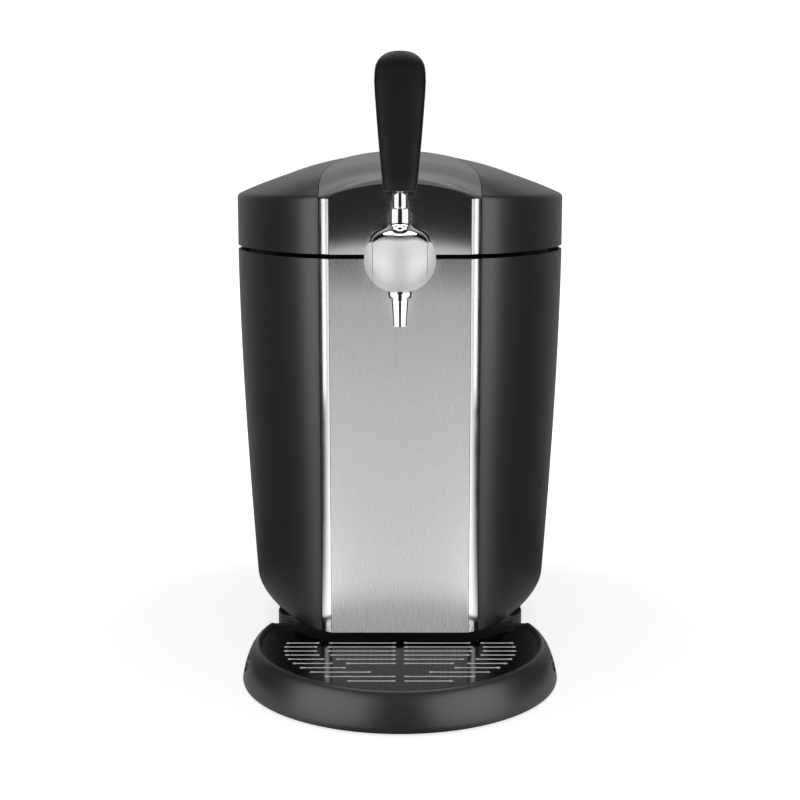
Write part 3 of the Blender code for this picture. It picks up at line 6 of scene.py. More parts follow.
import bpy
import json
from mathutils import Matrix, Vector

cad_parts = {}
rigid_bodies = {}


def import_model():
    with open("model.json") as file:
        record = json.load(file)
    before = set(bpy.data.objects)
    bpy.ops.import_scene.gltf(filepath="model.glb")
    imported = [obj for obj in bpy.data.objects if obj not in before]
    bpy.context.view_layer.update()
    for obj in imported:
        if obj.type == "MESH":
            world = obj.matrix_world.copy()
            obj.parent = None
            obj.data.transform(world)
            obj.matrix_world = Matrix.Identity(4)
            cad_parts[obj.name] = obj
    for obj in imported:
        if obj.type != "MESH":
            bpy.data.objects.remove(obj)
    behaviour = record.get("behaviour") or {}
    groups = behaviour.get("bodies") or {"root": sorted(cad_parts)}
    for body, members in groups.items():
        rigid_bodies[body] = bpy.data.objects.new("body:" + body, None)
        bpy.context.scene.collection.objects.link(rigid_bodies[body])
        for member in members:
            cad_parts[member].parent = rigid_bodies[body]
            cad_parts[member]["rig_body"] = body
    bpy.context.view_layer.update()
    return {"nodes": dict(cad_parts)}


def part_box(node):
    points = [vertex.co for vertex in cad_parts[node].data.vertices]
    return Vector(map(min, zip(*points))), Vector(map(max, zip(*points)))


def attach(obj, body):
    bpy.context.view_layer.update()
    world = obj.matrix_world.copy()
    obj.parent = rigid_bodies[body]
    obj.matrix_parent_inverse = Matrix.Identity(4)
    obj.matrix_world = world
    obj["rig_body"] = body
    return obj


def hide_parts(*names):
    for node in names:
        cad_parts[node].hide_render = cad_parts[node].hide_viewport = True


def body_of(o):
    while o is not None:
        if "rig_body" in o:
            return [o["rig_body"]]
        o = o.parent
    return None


bl_info = {
    "name": "Mini Keg Beer Dispenser",
    "version": (1, 0, 0),
    "blender": (4, 5, 0),
    "location": "View3D > Sidebar > Dispenser",
    "description": "Builds the visible shell, lid, tap and drip tray of a keg cooler, and a small studio",
    "category": "Object",
}

import json
import math

import bmesh
import bpy
from bpy.props import FloatProperty, FloatVectorProperty, IntProperty, PointerProperty
from mathutils import Matrix, Vector

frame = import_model()

UP = Vector((0, 0, 1))
RIGHT = Vector((1, 0, 0))
BACK = Vector((0, 1, 0))

# Places read from the frame
FASCIA_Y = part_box("front_fascia")[0].y
BODY_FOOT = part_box("front_fascia")[0].z
BODY_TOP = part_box("front_fascia")[1].z
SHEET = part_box("front_fascia")[1].y - FASCIA_Y
BACK_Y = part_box("rear_cover")[1].y
REAR_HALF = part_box("rear_cover")[1].x
LID_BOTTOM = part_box("lid_fascia")[0].z
BODY_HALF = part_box("body_right_panel")[1].x
STRIP_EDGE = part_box("trim_strip_right")[1].x
FASCIA_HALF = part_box("trim_strip_right")[0].x
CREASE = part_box("lid_trim_right")[1].z + 0.0028
TAP = Vector((0, sum(corner.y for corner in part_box("tap_yoke")) / 2,
              sum(corner.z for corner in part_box("cam_shaft")) / 2))

GAP = 0.0003           # between pieces that meet
DOUBLE = 0.000002      # points closer than this are one
STRIP_DEPTH = 0.006    # how far the corner strips reach back
SHANK_HOLE = 0.0083    # radii of the holes for the tap's shank, crank and valve
CRANK_BORE = 0.0033
VALVE_BORE = 0.0036
INSIDE = Vector((0, 0.06, 0.2))    # a point within the housing, to turn open sheets outwards


def length(name, text, value):
    return FloatProperty(name=name, description=text, default=value, unit="LENGTH")


def number(name, text, value):
    return FloatProperty(name=name, description=text, default=value)


def colour(name, text, value):
    return FloatVectorProperty(name=name, description=text, default=value, size=3, subtype="COLOR",
                               min=0, max=1)


class HousingSizes(bpy.types.PropertyGroup):
    """Shape of the body's plan and walls."""
    foot_half: length("Foot half width", "Half the housing's width at its foot", 0.124)
    flare: number("Flare", "How late the sides draw in towards the foot", 1.6)
    flank_run: length("Flank run", "Depth at which the sides turn straight", 0.139)
    flank_power: number("Flank power", "Fullness of the sides' curve in plan", 4 / 3)
    back_corner: length("Back corner", "Radius of the rear corners", 0.042)
    foot_round: length("Foot rounding", "Radius along the housing's lower edge", 0.013)
    wall: length("Wall", "Thickness of the moulded walls", 0.0025)
    edge: length("Edge", "Rounding of the moulded edges", 0.0006)


class LidSizes(bpy.types.PropertyGroup):
    """Shape of the lid's dome."""
    arch_rise: length("Arch rise", "Height of the front arch above the crease", 0.0115)
    nose_rise: length("Nose rise", "Further climb of the dome behind the arch", 0.0125)
    nose_run: length("Nose run", "Depth over which the nose climbs", 0.040)
    slope: number("Slope", "Climb of the ridge towards the back", 0.035)
    back_round: length("Back rounding", "Run over which the dome falls at the back", 0.030)
    band_crown: length("Band crown", "How far the centre band stands up", 0.0025)
    band_taper: length("Band taper", "How far each edge of the band draws in behind the nose", 0.0085)
    taper_run: length("Taper run", "Depth over which the band draws in", 0.180)
    fullness: number("Fullness", "How much squarer than a parabola the dome is across", 0.25)
    crease_round: length("Crease rounding", "Radius along the dome's lower edge", 0.0030)
    lean: length("Fascia lean", "How far the lid fascia's top leans back", 0.0026)


class TapSizes(bpy.types.PropertyGroup):
    """Sizes of the tap and its lever."""
    ball: length("Barrel radius", "Radius of the round tap body", 0.0246)
    stretch: number("Stretch", "Width of the tap's round form over its height", 1.065)
    barrel_half: length("Barrel half", "Half the tap body's length between the cheeks", 0.0196)
    neck: length("Neck radius", "Radius of the collar over the yoke", 0.0076)
    stem: length("Stem radius", "Radius of the lever's stem", 0.00535)
    handle_thick: length("Handle thickness", "Front to back size of the paddle", 0.016)


class TraySizes(bpy.types.PropertyGroup):
    """Sizes of the drip tray and its grate."""
    radius: length("Tray radius", "Radius of the skirt's foot", 0.124)
    rim: length("Rim radius", "Radius inside the rim", 0.1095)
    back: length("Back", "How far the tray reaches behind the fascia", 0.040)
    grate: length("Grate radius", "Radius of the slotted grate", 0.1085)
    slot_half: length("Slot half width", "Half the width of a slot", 0.0010)
    slot_end: length("Slot end radius", "Radius of a slot's round end", 0.0018)
    rows: IntProperty(name="Rows", description="Rows of slots from the housing to the front", default=10)
    pitch: length("Pitch", "Distance from row to row", 0.0093)


class FinishColours(bpy.types.PropertyGroup):
    """Colours of the finishes."""
    shell: colour("Shell", "Satin black moulding of the housing and lid", (0.009, 0.009, 0.0092))
    band: colour("Band", "Silver paint of the lid's centre band", (0.125, 0.125, 0.127))
    steel: colour("Steel", "Brushed steel of the front fascia", (0.66, 0.655, 0.65))
    dark_steel: colour("Dark steel", "Polished steel of the grate", (0.105, 0.104, 0.105))
    chrome: colour("Chrome", "Plated tap and corner strips", (0.90, 0.90, 0.905))
    handle: colour("Handle", "Soft black of the lever's paddle", (0.0085, 0.0085, 0.0088))
    tray: colour("Tray", "Satin black moulding of the drip tray", (0.010, 0.010, 0.0102))


class StudioSizes(bpy.types.PropertyGroup):
    """Camera and lamps of the small studio."""
    distance: length("Distance", "From the lens to the front fascia", 1.093)
    height: length("Height", "Height of the lens above the table", 0.404)
    pitch: FloatProperty(name="Pitch", description="Tilt of the camera below the horizontal",
                         default=math.radians(9.5), unit="ROTATION")
    lens: number("Lens", "Focal length in millimetres", 64.8)
    key: number("Key", "Brightness of the two lamps in front of the corners", 3.0)
    strip: number("Strip", "Brightness of the two narrow side lamps on the corner strips", 0.95)
    top: number("Top", "Brightness of the overhead lamp", 2.8)
    glow: number("Glow", "Brightness of the table in front, on the front plates", 0.72)
    tap: number("Tap", "Brightness of the two wide lamps on the tap", 1.05)


class DispenserSettings(bpy.types.PropertyGroup):
    """All that a user would change."""
    housing: PointerProperty(type=HousingSizes)
    lid: PointerProperty(type=LidSizes)
    tap: PointerProperty(type=TapSizes)
    tray: PointerProperty(type=TraySizes)
    finish: PointerProperty(type=FinishColours)
    studio: PointerProperty(type=StudioSizes)


def sizes():
    """The settings, by group."""
    return bpy.context.scene.dispenser


# Finishes

NOISE_LOW, NOISE_HIGH = 0.3, 0.7    # between which most of a noise lies


def finish(name, base, rough, metal=0.0, **sockets):
    """The node tree and shader of a new material with plain values."""
    made = bpy.data.materials.new(name)
    made.use_nodes = True
    shader = made.node_tree.nodes["Principled BSDF"]
    shader.inputs["Base Color"].default_value = (*base, 1)
    shader.inputs["Roughness"].default_value = rough
    shader.inputs["Metallic"].default_value = metal
    for socket, value in sockets.items():
        shader.inputs[socket.replace("_", " ")].default_value = value
    return made.node_tree, shader


def own_places(tree):
    """The piece's own coordinates."""
    return tree.nodes.new("ShaderNodeTexCoord").outputs["Object"]


def grain(tree, scale, stretch=(1, 1, 1), detail=3.0, lift=0.5):
    """Noise on the piece's own coordinates; a stretch below 1 draws it out along that axis."""
    mapping = tree.nodes.new("ShaderNodeMapping")
    mapping.inputs["Scale"].default_value = stretch
    noise = tree.nodes.new("ShaderNodeTexNoise")
    noise.inputs["Scale"].default_value = scale
    noise.inputs["Detail"].default_value = detail
    noise.inputs["Roughness"].default_value = lift
    tree.links.new(own_places(tree), mapping.inputs["Vector"])
    tree.links.new(mapping.outputs["Vector"], noise.inputs["Vector"])
    return noise.outputs["Fac"]


def spread(tree, value, low, high, start=NOISE_LOW, end=NOISE_HIGH, curve="LINEAR"):
    """A value between start and end spread from low to high."""
    ranged = tree.nodes.new("ShaderNodeMapRange")
    ranged.interpolation_type = curve
    for socket, edge in (("From Min", start), ("From Max", end), ("To Min", low), ("To Max", high)):
        ranged.inputs[socket].default_value = edge
    tree.links.new(value, ranged.inputs["Value"])
    return ranged.outputs["Result"]


def laid_over(tree, share, under, over):
    """A shader mixed in over another by a share."""
    mixed = tree.nodes.new("ShaderNodeMixShader")
    for place, source in enumerate((share, under, over)):
        tree.links.new(source, mixed.inputs[place])
    return mixed.outputs["Shader"]


def tint(tree, shader, value, dark, light):
    """Base colour that runs from dark to light with a value."""
    ramp = tree.nodes.new("ShaderNodeValToRGB")
    for element, place, tone in zip(ramp.color_ramp.elements, (NOISE_LOW, NOISE_HIGH), (dark, light)):
        element.position = place
        element.color = (*tone, 1)
    tree.links.new(value, ramp.inputs["Fac"])
    tree.links.new(ramp.outputs["Color"], shader.inputs["Base Color"])


def relief(tree, shader, value, depth):
    """A bump of that depth in metres, on top of any earlier one."""
    bump = tree.nodes.new("ShaderNodeBump")
    bump.inputs["Distance"].default_value = depth
    bump.inputs["Strength"].default_value = 1.0
    tree.links.new(value, bump.inputs["Height"])
    earlier = shader.inputs["Normal"].links
    if earlier:
        tree.links.new(earlier[0].from_socket, bump.inputs["Normal"])
    tree.links.new(bump.outputs["Normal"], shader.inputs["Normal"])


def shade(base, share):
    return tuple(min(part * share, 1) for part in base)


def moulded(name, base, rough, grain_size=0.0007, depth=0.000012):
    """Fine-grained moulded plastic with slight cloudiness."""
    tree, shader = finish(name, base, rough)
    fine = grain(tree, 1 / grain_size, detail=2)
    broad = grain(tree, 14, detail=4)
    tint(tree, shader, broad, shade(base, 0.88), shade(base, 1.12))
    tree.links.new(spread(tree, fine, rough - 0.03, rough + 0.04), shader.inputs["Roughness"])
    relief(tree, shader, fine, depth)


def brushed(name, base, rough, stretch, depth=0.000001, contrast=0.03, metal=1.0):
    """Brushed metal whose lines run along the axis that stretch draws out."""
    tree, shader = finish(name, base, rough, metal)
    lines = grain(tree, 2600, stretch, detail=4, lift=0.6)
    patches = grain(tree, 30, tuple(part * 6 for part in stretch), detail=3)
    tint(tree, shader, lines, shade(base, 1 - contrast), shade(base, 1 + contrast))
    tree.links.new(spread(tree, lines, rough - 0.02, rough + 0.03), shader.inputs["Roughness"])
    relief(tree, shader, lines, depth)
    relief(tree, shader, patches, depth)


def plated(name, base, rough):
    """Bright plating, with the faintest haze and waviness."""
    tree, shader = finish(name, base, rough, 1.0)
    haze = grain(tree, 60, detail=5)
    wave = grain(tree, 25, detail=1)
    tree.links.new(spread(tree, haze, rough * 0.7, rough * 1.6), shader.inputs["Roughness"])
    tint(tree, shader, haze, shade(base, 0.985), shade(base, 1.01))
    relief(tree, shader, wave, 0.00001)


def cast_metal(name, base, rough, grain_size=0.0012, depth=0.00003, metal=1.0):
    """Cast or satin-plated metal; part metal shows less cloudiness."""
    tree, shader = finish(name, base, rough, metal)
    fine = grain(tree, 1 / grain_size, detail=3)
    cloud = 0.08 if metal == 1 else 0.02
    tint(tree, shader, fine, shade(base, 1 - cloud), shade(base, 1 + cloud))
    tree.links.new(spread(tree, fine, rough - 0.05, rough + 0.08), shader.inputs["Roughness"])
    relief(tree, shader, fine, depth)


def foamed(name, base):
    """Closed-cell foam with open cut cells."""
    tree, shader = finish(name, base, 0.9)
    cells = tree.nodes.new("ShaderNodeTexVoronoi")
    cells.inputs["Scale"].default_value = 900
    tree.links.new(own_places(tree), cells.inputs["Vector"])
    tint(tree, shader, cells.outputs["Distance"], shade(base, 1.05), shade(base, 0.75))
    relief(tree, shader, cells.outputs["Distance"], 0.0003)


def lacquered_board(name, base):
    """Green lacquer over a hint of copper tracks."""
    tree, shader = finish(name, base, 0.35, Coat_Weight=0.4)
    tracks = tree.nodes.new("ShaderNodeTexBrick")
    tracks.inputs["Scale"].default_value = 120
    tracks.inputs["Mortar Size"].default_value = 0.03
    tracks.inputs["Color1"].default_value = (*base, 1)
    tracks.inputs["Color2"].default_value = (*shade(base, 0.8), 1)
    tracks.inputs["Mortar"].default_value = (*shade(base, 1.9), 1)
    tree.links.new(own_places(tree), tracks.inputs["Vector"])
    tree.links.new(tracks.outputs["Color"], shader.inputs["Base Color"])
    relief(tree, shader, tracks.outputs["Fac"], 0.00005)


def silver_paint(name, base):
    """Satin metallic paint with fine flakes under a clear coat."""
    tree, shader = finish(name, base, 0.42, 0.45, Specular_IOR_Level=0.15)
    flakes = grain(tree, 5200, detail=2, lift=0.7)
    tint(tree, shader, flakes, shade(base, 0.86), shade(base, 1.16))
    tree.links.new(spread(tree, flakes, 0.38, 0.48), shader.inputs["Roughness"])
    relief(tree, shader, flakes, 0.000004)


def make_finishes():
    colours = sizes().finish
    moulded("satin_black_moulding", tuple(colours.shell), 0.38)
    moulded("grained_black_moulding", shade(colours.shell, 0.9), 0.56, 0.0012, 0.00006)
    moulded("satin_tray_moulding", tuple(colours.tray), 0.34)
    silver_paint("satin_silver_paint", tuple(colours.band))
    brushed("vertical_brushed_steel", tuple(colours.steel), 0.27, (1, 1, 0.012), depth=0.0000002,
            contrast=0.010, metal=0.8)
    brushed("lid_brushed_steel", shade(colours.steel, 1.25), 0.12, (1, 1, 0.012), contrast=0.02)
    brushed("dark_polished_steel", tuple(colours.dark_steel), 0.13, (0.02, 1, 1), 0.0000005)
    brushed("bright_stamped_edge", (0.58, 0.575, 0.57), 0.5, (0.02, 1, 1), metal=0.3)
    plated("bright_chrome", tuple(colours.chrome), 0.045)
    plated("strip_chrome", tuple(colours.chrome), 0.10)
    cast_metal("satin_plating", shade(colours.chrome, 0.95), 0.50, 0.0006, 0.000004, 0.35)
    moulded("soft_black_handle", tuple(colours.handle), 0.52, 0.0005, 0.00001)
    brushed("machined_steel", (0.55, 0.55, 0.56), 0.30, (1, 1, 0.05))
    brushed("drawn_aluminium", (0.72, 0.73, 0.75), 0.34, (1, 1, 0.02), contrast=0.06)
    cast_metal("pressed_aluminium", (0.68, 0.69, 0.71), 0.40)
    moulded("pale_grey_moulding", (0.30, 0.31, 0.32), 0.46, 0.0010, 0.00003)
    moulded("matt_rubber", (0.030, 0.030, 0.031), 0.82, 0.0009, 0.00005)
    moulded("fired_ceramic", (0.80, 0.79, 0.76), 0.55, 0.0008, 0.00002)
    foamed("closed_cell_foam", (0.78, 0.76, 0.70))
    lacquered_board("lacquered_board", (0.02, 0.15, 0.06))


# Modelling helpers

SMOOTH_ANGLE = math.radians(32)


def smoothed(data):
    data.shade_smooth()
    data.set_sharp_from_angle(angle=SMOOTH_ANGLE)


def added(name, data):
    """A new object in the scene."""
    made = bpy.data.objects.new(name, data)
    bpy.context.scene.collection.objects.link(made)
    return made


def shaped(mesh, name):
    """A new object from a bmesh."""
    data = bpy.data.meshes.new(name)
    mesh.to_mesh(data)
    mesh.free()
    smoothed(data)
    return added(name, data)


def walled(made, thickness):
    """Gives a sheet its thickness, inwards."""
    wall = made.modifiers.new("wall", "SOLIDIFY")
    wall.thickness = thickness
    wall.offset = -1
    wall.use_even_offset = True
    return made


def eased(made, width, segments=3, angle=math.radians(40)):
    """Rounds the sharp edges."""
    round_over = made.modifiers.new("eased", "BEVEL")
    round_over.width = width
    round_over.segments = segments
    round_over.limit_method = "ANGLE"
    round_over.angle_limit = angle
    round_over.harden_normals = True
    return made


def applied(made):
    """Makes the modifiers part of the mesh."""
    bpy.context.view_layer.update()
    graph = bpy.context.evaluated_depsgraph_get()
    data = bpy.data.meshes.new_from_object(made.evaluated_get(graph))
    made.modifiers.clear()
    made.data = data
    smoothed(data)
    return made


def combined(made, operation, *tools):
    """The object with each tool's shape cut out, kept or joined."""
    helpers = [shaped(tool, "tool") for tool in tools]
    for helper in helpers:
        step = made.modifiers.new("combined", "BOOLEAN")
        step.object = helper
        step.operation = operation
        step.solver = "MANIFOLD"
    applied(made)
    for helper in helpers:
        bpy.data.objects.remove(helper)
    return made


def dressed(made, finishes, *nodes):
    """Gives the object its finishes and the body of the nodes it stands for, and hides those nodes."""
    made.data.materials.clear()
    for name in (finishes,) if isinstance(finishes, str) else finishes:
        made.data.materials.append(bpy.data.materials[name])
    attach(made, body_of(frame["nodes"][nodes[0]])[0])
    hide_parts(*nodes)
    return made


def welded(mesh, inside=None):
    """Merges doubles and turns the faces outwards, away from a point inside where the shape is open."""
    bmesh.ops.remove_doubles(mesh, verts=mesh.verts, dist=DOUBLE)
    bmesh.ops.recalc_face_normals(mesh, faces=mesh.faces)
    if inside is not None:
        mesh.normal_update()
        outwards = sum(face.normal.dot(face.calc_center_median() - inside) * face.calc_area()
                       for face in mesh.faces)
        if outwards < 0:
            bmesh.ops.reverse_faces(mesh, faces=mesh.faces)
    return mesh


def through(rows, inside=None):
    """A grid laid through rows of points."""
    mesh = bmesh.new()
    across, along = len(rows[0]) - 1, len(rows) - 1
    bmesh.ops.create_grid(mesh, x_segments=across, y_segments=along, size=0.5)
    for vert in mesh.verts:
        vert.co = rows[round((vert.co.y + 0.5) * along)][round((vert.co.x + 0.5) * across)]
    return welded(mesh, inside)


def turned(profile, centre=Vector(), steps=96, axis=UP):
    """A profile of (radius, height) points, turned a full circle about an axis through the centre."""
    mesh = bmesh.new()
    out = BACK if axis == RIGHT else RIGHT
    verts = [mesh.verts.new(centre + out * radius + axis * height) for radius, height in profile]
    edges = [mesh.edges.new(pair) for pair in zip(verts, verts[1:])]
    bmesh.ops.spin(mesh, geom=verts + edges, cent=centre, axis=axis, angle=2 * math.pi, steps=steps,
                   use_merge=True)
    return welded(mesh)


def rod(start, end, radius, steps=40):
    mesh = bmesh.new()
    along = end - start
    place = Matrix.Translation((start + end) / 2) @ along.to_track_quat("Z", "Y").to_matrix().to_4x4()
    bmesh.ops.create_cone(mesh, cap_ends=True, segments=steps, radius1=radius, radius2=radius,
                          depth=along.length, matrix=place)
    return mesh


def block(low, high):
    mesh = bmesh.new()
    low, high = Vector(low), Vector(high)
    bmesh.ops.create_cube(mesh, size=1, matrix=Matrix.Translation((low + high) / 2))
    bmesh.ops.scale(mesh, verts=mesh.verts, vec=high - low, space=Matrix.Translation(-(low + high) / 2))
    return mesh


def slab(outline, thrust):
    """A flat face through the outline's points, thickened by a thrust."""
    mesh = bmesh.new()
    face = mesh.faces.new([mesh.verts.new(point) for point in outline])
    grown = bmesh.ops.extrude_face_region(mesh, geom=[face])["geom"]
    moved = [part for part in grown if isinstance(part, bmesh.types.BMVert)]
    bmesh.ops.translate(mesh, verts=moved, vec=thrust)
    return welded(mesh)


def joined(first, *others):
    """One bmesh that holds all of them."""
    for other in others:
        carrier = bpy.data.meshes.new("carrier")
        other.to_mesh(carrier)
        other.free()
        first.from_mesh(carrier)
        bpy.data.meshes.remove(carrier)
    return first


def released(made):
    """The object's mesh as a bmesh, without the object."""
    mesh = bmesh.new()
    mesh.from_mesh(made.data)
    bpy.data.objects.remove(made)
    return mesh


def trimmed(mesh, depth):
    """The shape cut off flat at a depth behind the fascia."""
    everything = mesh.verts[:] + mesh.edges[:] + mesh.faces[:]
    bmesh.ops.bisect_plane(mesh, geom=everything, plane_co=(0, FASCIA_Y + depth, 0), plane_no=BACK,
                           clear_outer=True)
    bmesh.ops.holes_fill(mesh, edges=[edge for edge in mesh.edges if edge.is_boundary])
    return mesh


def other_side(mesh):
    """The bmesh mirrored to the left."""
    bmesh.ops.scale(mesh, verts=mesh.verts, vec=(-1, 1, 1))
    bmesh.ops.reverse_faces(mesh, faces=mesh.faces)
    return mesh


def copied(node):
    """The CAD solid's own surface, merged and with its flat facets joined."""
    mesh = bmesh.new()
    mesh.from_mesh(frame["nodes"][node].data)
    bmesh.ops.remove_doubles(mesh, verts=mesh.verts, dist=DOUBLE)
    bmesh.ops.dissolve_limit(mesh, angle_limit=math.radians(0.5), verts=mesh.verts, edges=mesh.edges)
    return mesh


def steps_between(start, end, count):
    return [start + (end - start) * step / count for step in range(count + 1)]


def clamp(value):
    return min(max(value, 0), 1)


# The shell's form


def half_width(level):
    housing = sizes().housing
    fall = max((BODY_TOP - level) / (BODY_TOP - BODY_FOOT), 0)
    return BODY_HALF - (BODY_HALF - housing.foot_half) * fall ** housing.flare


def side_plan(width, inset, end_x):
    """Plan of the right side: the curved flank, the straight run, the rear corner and the run to end_x."""
    housing = sizes().housing
    start_x = STRIP_EDGE + GAP
    front = FASCIA_Y + STRIP_DEPTH
    run = housing.flank_run - STRIP_DEPTH
    points = []
    for turn in steps_between(0, math.pi / 2, 44):
        points.append((start_x + (width - inset - start_x) * math.sin(turn) ** housing.flank_power,
                       front + run * (1 - math.cos(turn) ** housing.flank_power)))
    radius = housing.back_corner
    middle = (width - inset - radius, BACK_Y - inset - radius)
    points += [(width - inset, y) for y in steps_between(points[-1][1], middle[1], 10)[1:]]
    points += [(middle[0] + radius * math.cos(turn), middle[1] + radius * math.sin(turn))
               for turn in steps_between(0, math.pi / 2, 16)[1:]]
    points += [(x, BACK_Y - inset) for x in steps_between(middle[0], end_x, 6)[1:]]
    return points


def width_at(depth, width):
    """Half width of the side plan at a depth behind the fascia."""
    housing = sizes().housing
    start_x = STRIP_EDGE + GAP
    share = clamp((depth - STRIP_DEPTH) / (housing.flank_run - STRIP_DEPTH))
    power = 2 / housing.flank_power
    wide = start_x + (width - start_x) * (1 - (1 - share) ** power) ** (1 / power)
    past = depth - (BACK_Y - FASCIA_Y - housing.back_corner)
    if past > 0:
        wide -= housing.back_corner - math.sqrt(max(housing.back_corner ** 2 - past ** 2, 0))
    return wide


def crown(depth):
    """Height of the dome's ridge above the crease at a depth behind the fascia."""
    lid = sizes().lid
    nose = clamp(depth / lid.nose_run)
    rise = lid.arch_rise + lid.nose_rise * math.sqrt(1 - (1 - nose) ** 2) + lid.slope * depth
    past = depth - (BACK_Y - FASCIA_Y - lid.back_round)
    return rise * math.sqrt(max(1 - (past / lid.back_round) ** 2, 0)) if past > 0 else rise


def dome(x, y):
    """Height of the lid's skin."""
    lid = sizes().lid
    depth = max(y - FASCIA_Y, 0)
    wide = max(width_at(depth, BODY_HALF), STRIP_EDGE)
    power = 2 + lid.fullness * clamp(depth / lid.nose_run)
    return CREASE + crown(depth) * max(1 - (abs(x) / wide) ** power, 0)


def band_half(depth):
    """Half the centre band's width, which draws in behind the nose."""
    lid = sizes().lid
    straight = 0.012
    return STRIP_EDGE - lid.band_taper * clamp((depth - straight) / lid.taper_run)


def side_panel(side, word):
    """One side of the housing, drawn in towards its foot and rounded in underneath."""
    housing = sizes().housing
    outlines = [(level, 0) for level in steps_between(BODY_TOP, BODY_FOOT + housing.foot_round, 24)]
    for turn in steps_between(math.pi / 2, 0, 8)[1:]:
        outlines.append((BODY_FOOT + housing.foot_round * (1 - math.cos(turn)),
                         housing.foot_round * (1 - math.sin(turn))))
    mesh = through([[Vector((x, y, level)) for x, y in side_plan(half_width(level), inset, REAR_HALF + GAP)]
                    for level, inset in outlines], INSIDE)
    if side < 0:
        other_side(mesh)
    panel = walled(shaped(mesh, f"side_panel_{word}"), housing.wall)
    return dressed(eased(panel, housing.edge), "satin_black_moulding", f"body_{word}_panel")


def lid_cover(side, word):
    """One side of the lid: a low wall, a soft crease and its share of the dome."""
    housing, lid = sizes().housing, sizes().lid
    plan = side_plan(BODY_HALF, 0, band_half(BACK_Y - FASCIA_Y) + GAP)
    middle = BODY_HALF - housing.back_corner
    flank = [point for point in plan if point[0] > middle - 0.00001 or point[1] < BACK_Y - 0.00001]
    rows = []
    for x, y in flank:
        edge = min(band_half(y - FASCIA_Y) + GAP * 2, x)
        reach = min(lid.crease_round, (x - edge) / 2)
        inner = x - reach
        row = [Vector((across, y, dome(across, y))) for across in steps_between(edge, inner, 22)]
        over, side_top = Vector((inner, y, dome(inner, y))), Vector((x, y, CREASE - reach))
        corner = Vector((x, y, CREASE))
        row += [over.lerp(corner, t).lerp(corner.lerp(side_top, t), t) for t in steps_between(0, 1, 5)[1:]]
        wall = steps_between(side_top.z, LID_BOTTOM, 6)[1:]
        rows.append(row + [Vector((x, y, level)) for level in wall])
    mesh = through(rows)
    down = [[Vector((point.x, point.y, level)) for level in steps_between(point.z, LID_BOTTOM, 6)]
            for point in rows[-1][:-6]]
    mesh = welded(joined(mesh, through(down)), INSIDE)
    if side < 0:
        other_side(mesh)
    cover = walled(shaped(mesh, f"lid_cover_{word}"), housing.wall)
    return dressed(eased(cover, housing.edge), "satin_black_moulding", f"lid_{word}_cover")


def lid_band():
    """The silver band over the middle of the lid, from its nose to the hinges."""
    housing, lid = sizes().housing, sizes().lid
    whole = BACK_Y - FASCIA_Y
    depths = [lid.nose_run * (1 - math.cos(turn)) for turn in steps_between(0, math.pi / 2, 18)]
    flat_end = whole - lid.back_round
    depths += steps_between(lid.nose_run, flat_end, 20)[1:]
    depths += [flat_end + lid.back_round * math.sin(turn) for turn in steps_between(0, math.pi / 2, 10)[1:]]
    rows = []
    for depth in depths:
        row = []
        half = band_half(depth)
        for x in steps_between(-half, half, 48):
            start = STRIP_DEPTH * max(abs(x) - FASCIA_HALF, 0) / (STRIP_EDGE - FASCIA_HALF)
            y = FASCIA_Y + start + (whole - start) * depth / whole
            crest = lid.band_crown * min(depth / lid.nose_run, 1) * (1 - (x / half) ** 2)
            crest *= 1 - clamp((depth - flat_end) / lid.back_round)
            row.append(Vector((x, y, dome(x, y) + crest)))
        rows.append(row)
    for level in steps_between(CREASE, LID_BOTTOM, 8)[1:]:
        rows.append([Vector((point.x, BACK_Y, level)) for point in rows[-1]])
    band = applied(walled(shaped(through(rows, INSIDE), "lid_band"), housing.wall))
    notches = []
    for low, high in (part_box("hinge_pin_left"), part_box("hinge_pin_right")):
        notches.append(block((low.x - 0.0018, low.y - 0.005, LID_BOTTOM - 0.001),
                             (high.x + 0.0018, BACK_Y + 0.001, high.z + 0.0035)))
    combined(band, "DIFFERENCE", *notches)
    return dressed(eased(band, housing.edge * 0.7), "satin_silver_paint", "lid_center_band")


def front_sheet(rows, name, material, node):
    """A thin plate through the rows, with the hole for the tap's shank."""
    plate = walled(shaped(through(rows, INSIDE), name), SHEET)
    start = Vector((0, FASCIA_Y - 0.01, TAP.z))
    combined(plate, "DIFFERENCE", rod(start, start + BACK * 0.03, SHANK_HOLE))
    return dressed(eased(plate, 0.0004), material, node)


def lid_fascia():
    """Dark plate at the lid's front, under the band's arch, leaning back a little."""
    lid = sizes().lid
    half = FASCIA_HALF - GAP * 1.5
    rows = []
    for share in steps_between(0, 1, 16):
        row = []
        for x in steps_between(-half, half, 40):
            top = dome(x, FASCIA_Y) + 0.0005
            row.append(Vector((x, FASCIA_Y + lid.lean * share ** 2, LID_BOTTOM + (top - LID_BOTTOM) * share)))
        rows.append(row)
    return front_sheet(rows, "lid_front_plate", "lid_brushed_steel", "lid_fascia")


def front_fascia():
    """Brushed plate of the housing's front, whose top edge leans back a little."""
    half = FASCIA_HALF - GAP
    lean, run = 0.0012, 0.030
    rows = []
    for level in [BODY_FOOT] + steps_between(BODY_TOP - run, BODY_TOP, 10):
        y = FASCIA_Y + lean * clamp(1 - (BODY_TOP - level) / run) ** 2
        rows.append([Vector((x, y, level)) for x in steps_between(-half, half, 8)])
    return front_sheet(rows, "front_plate", "vertical_brushed_steel", "front_fascia")


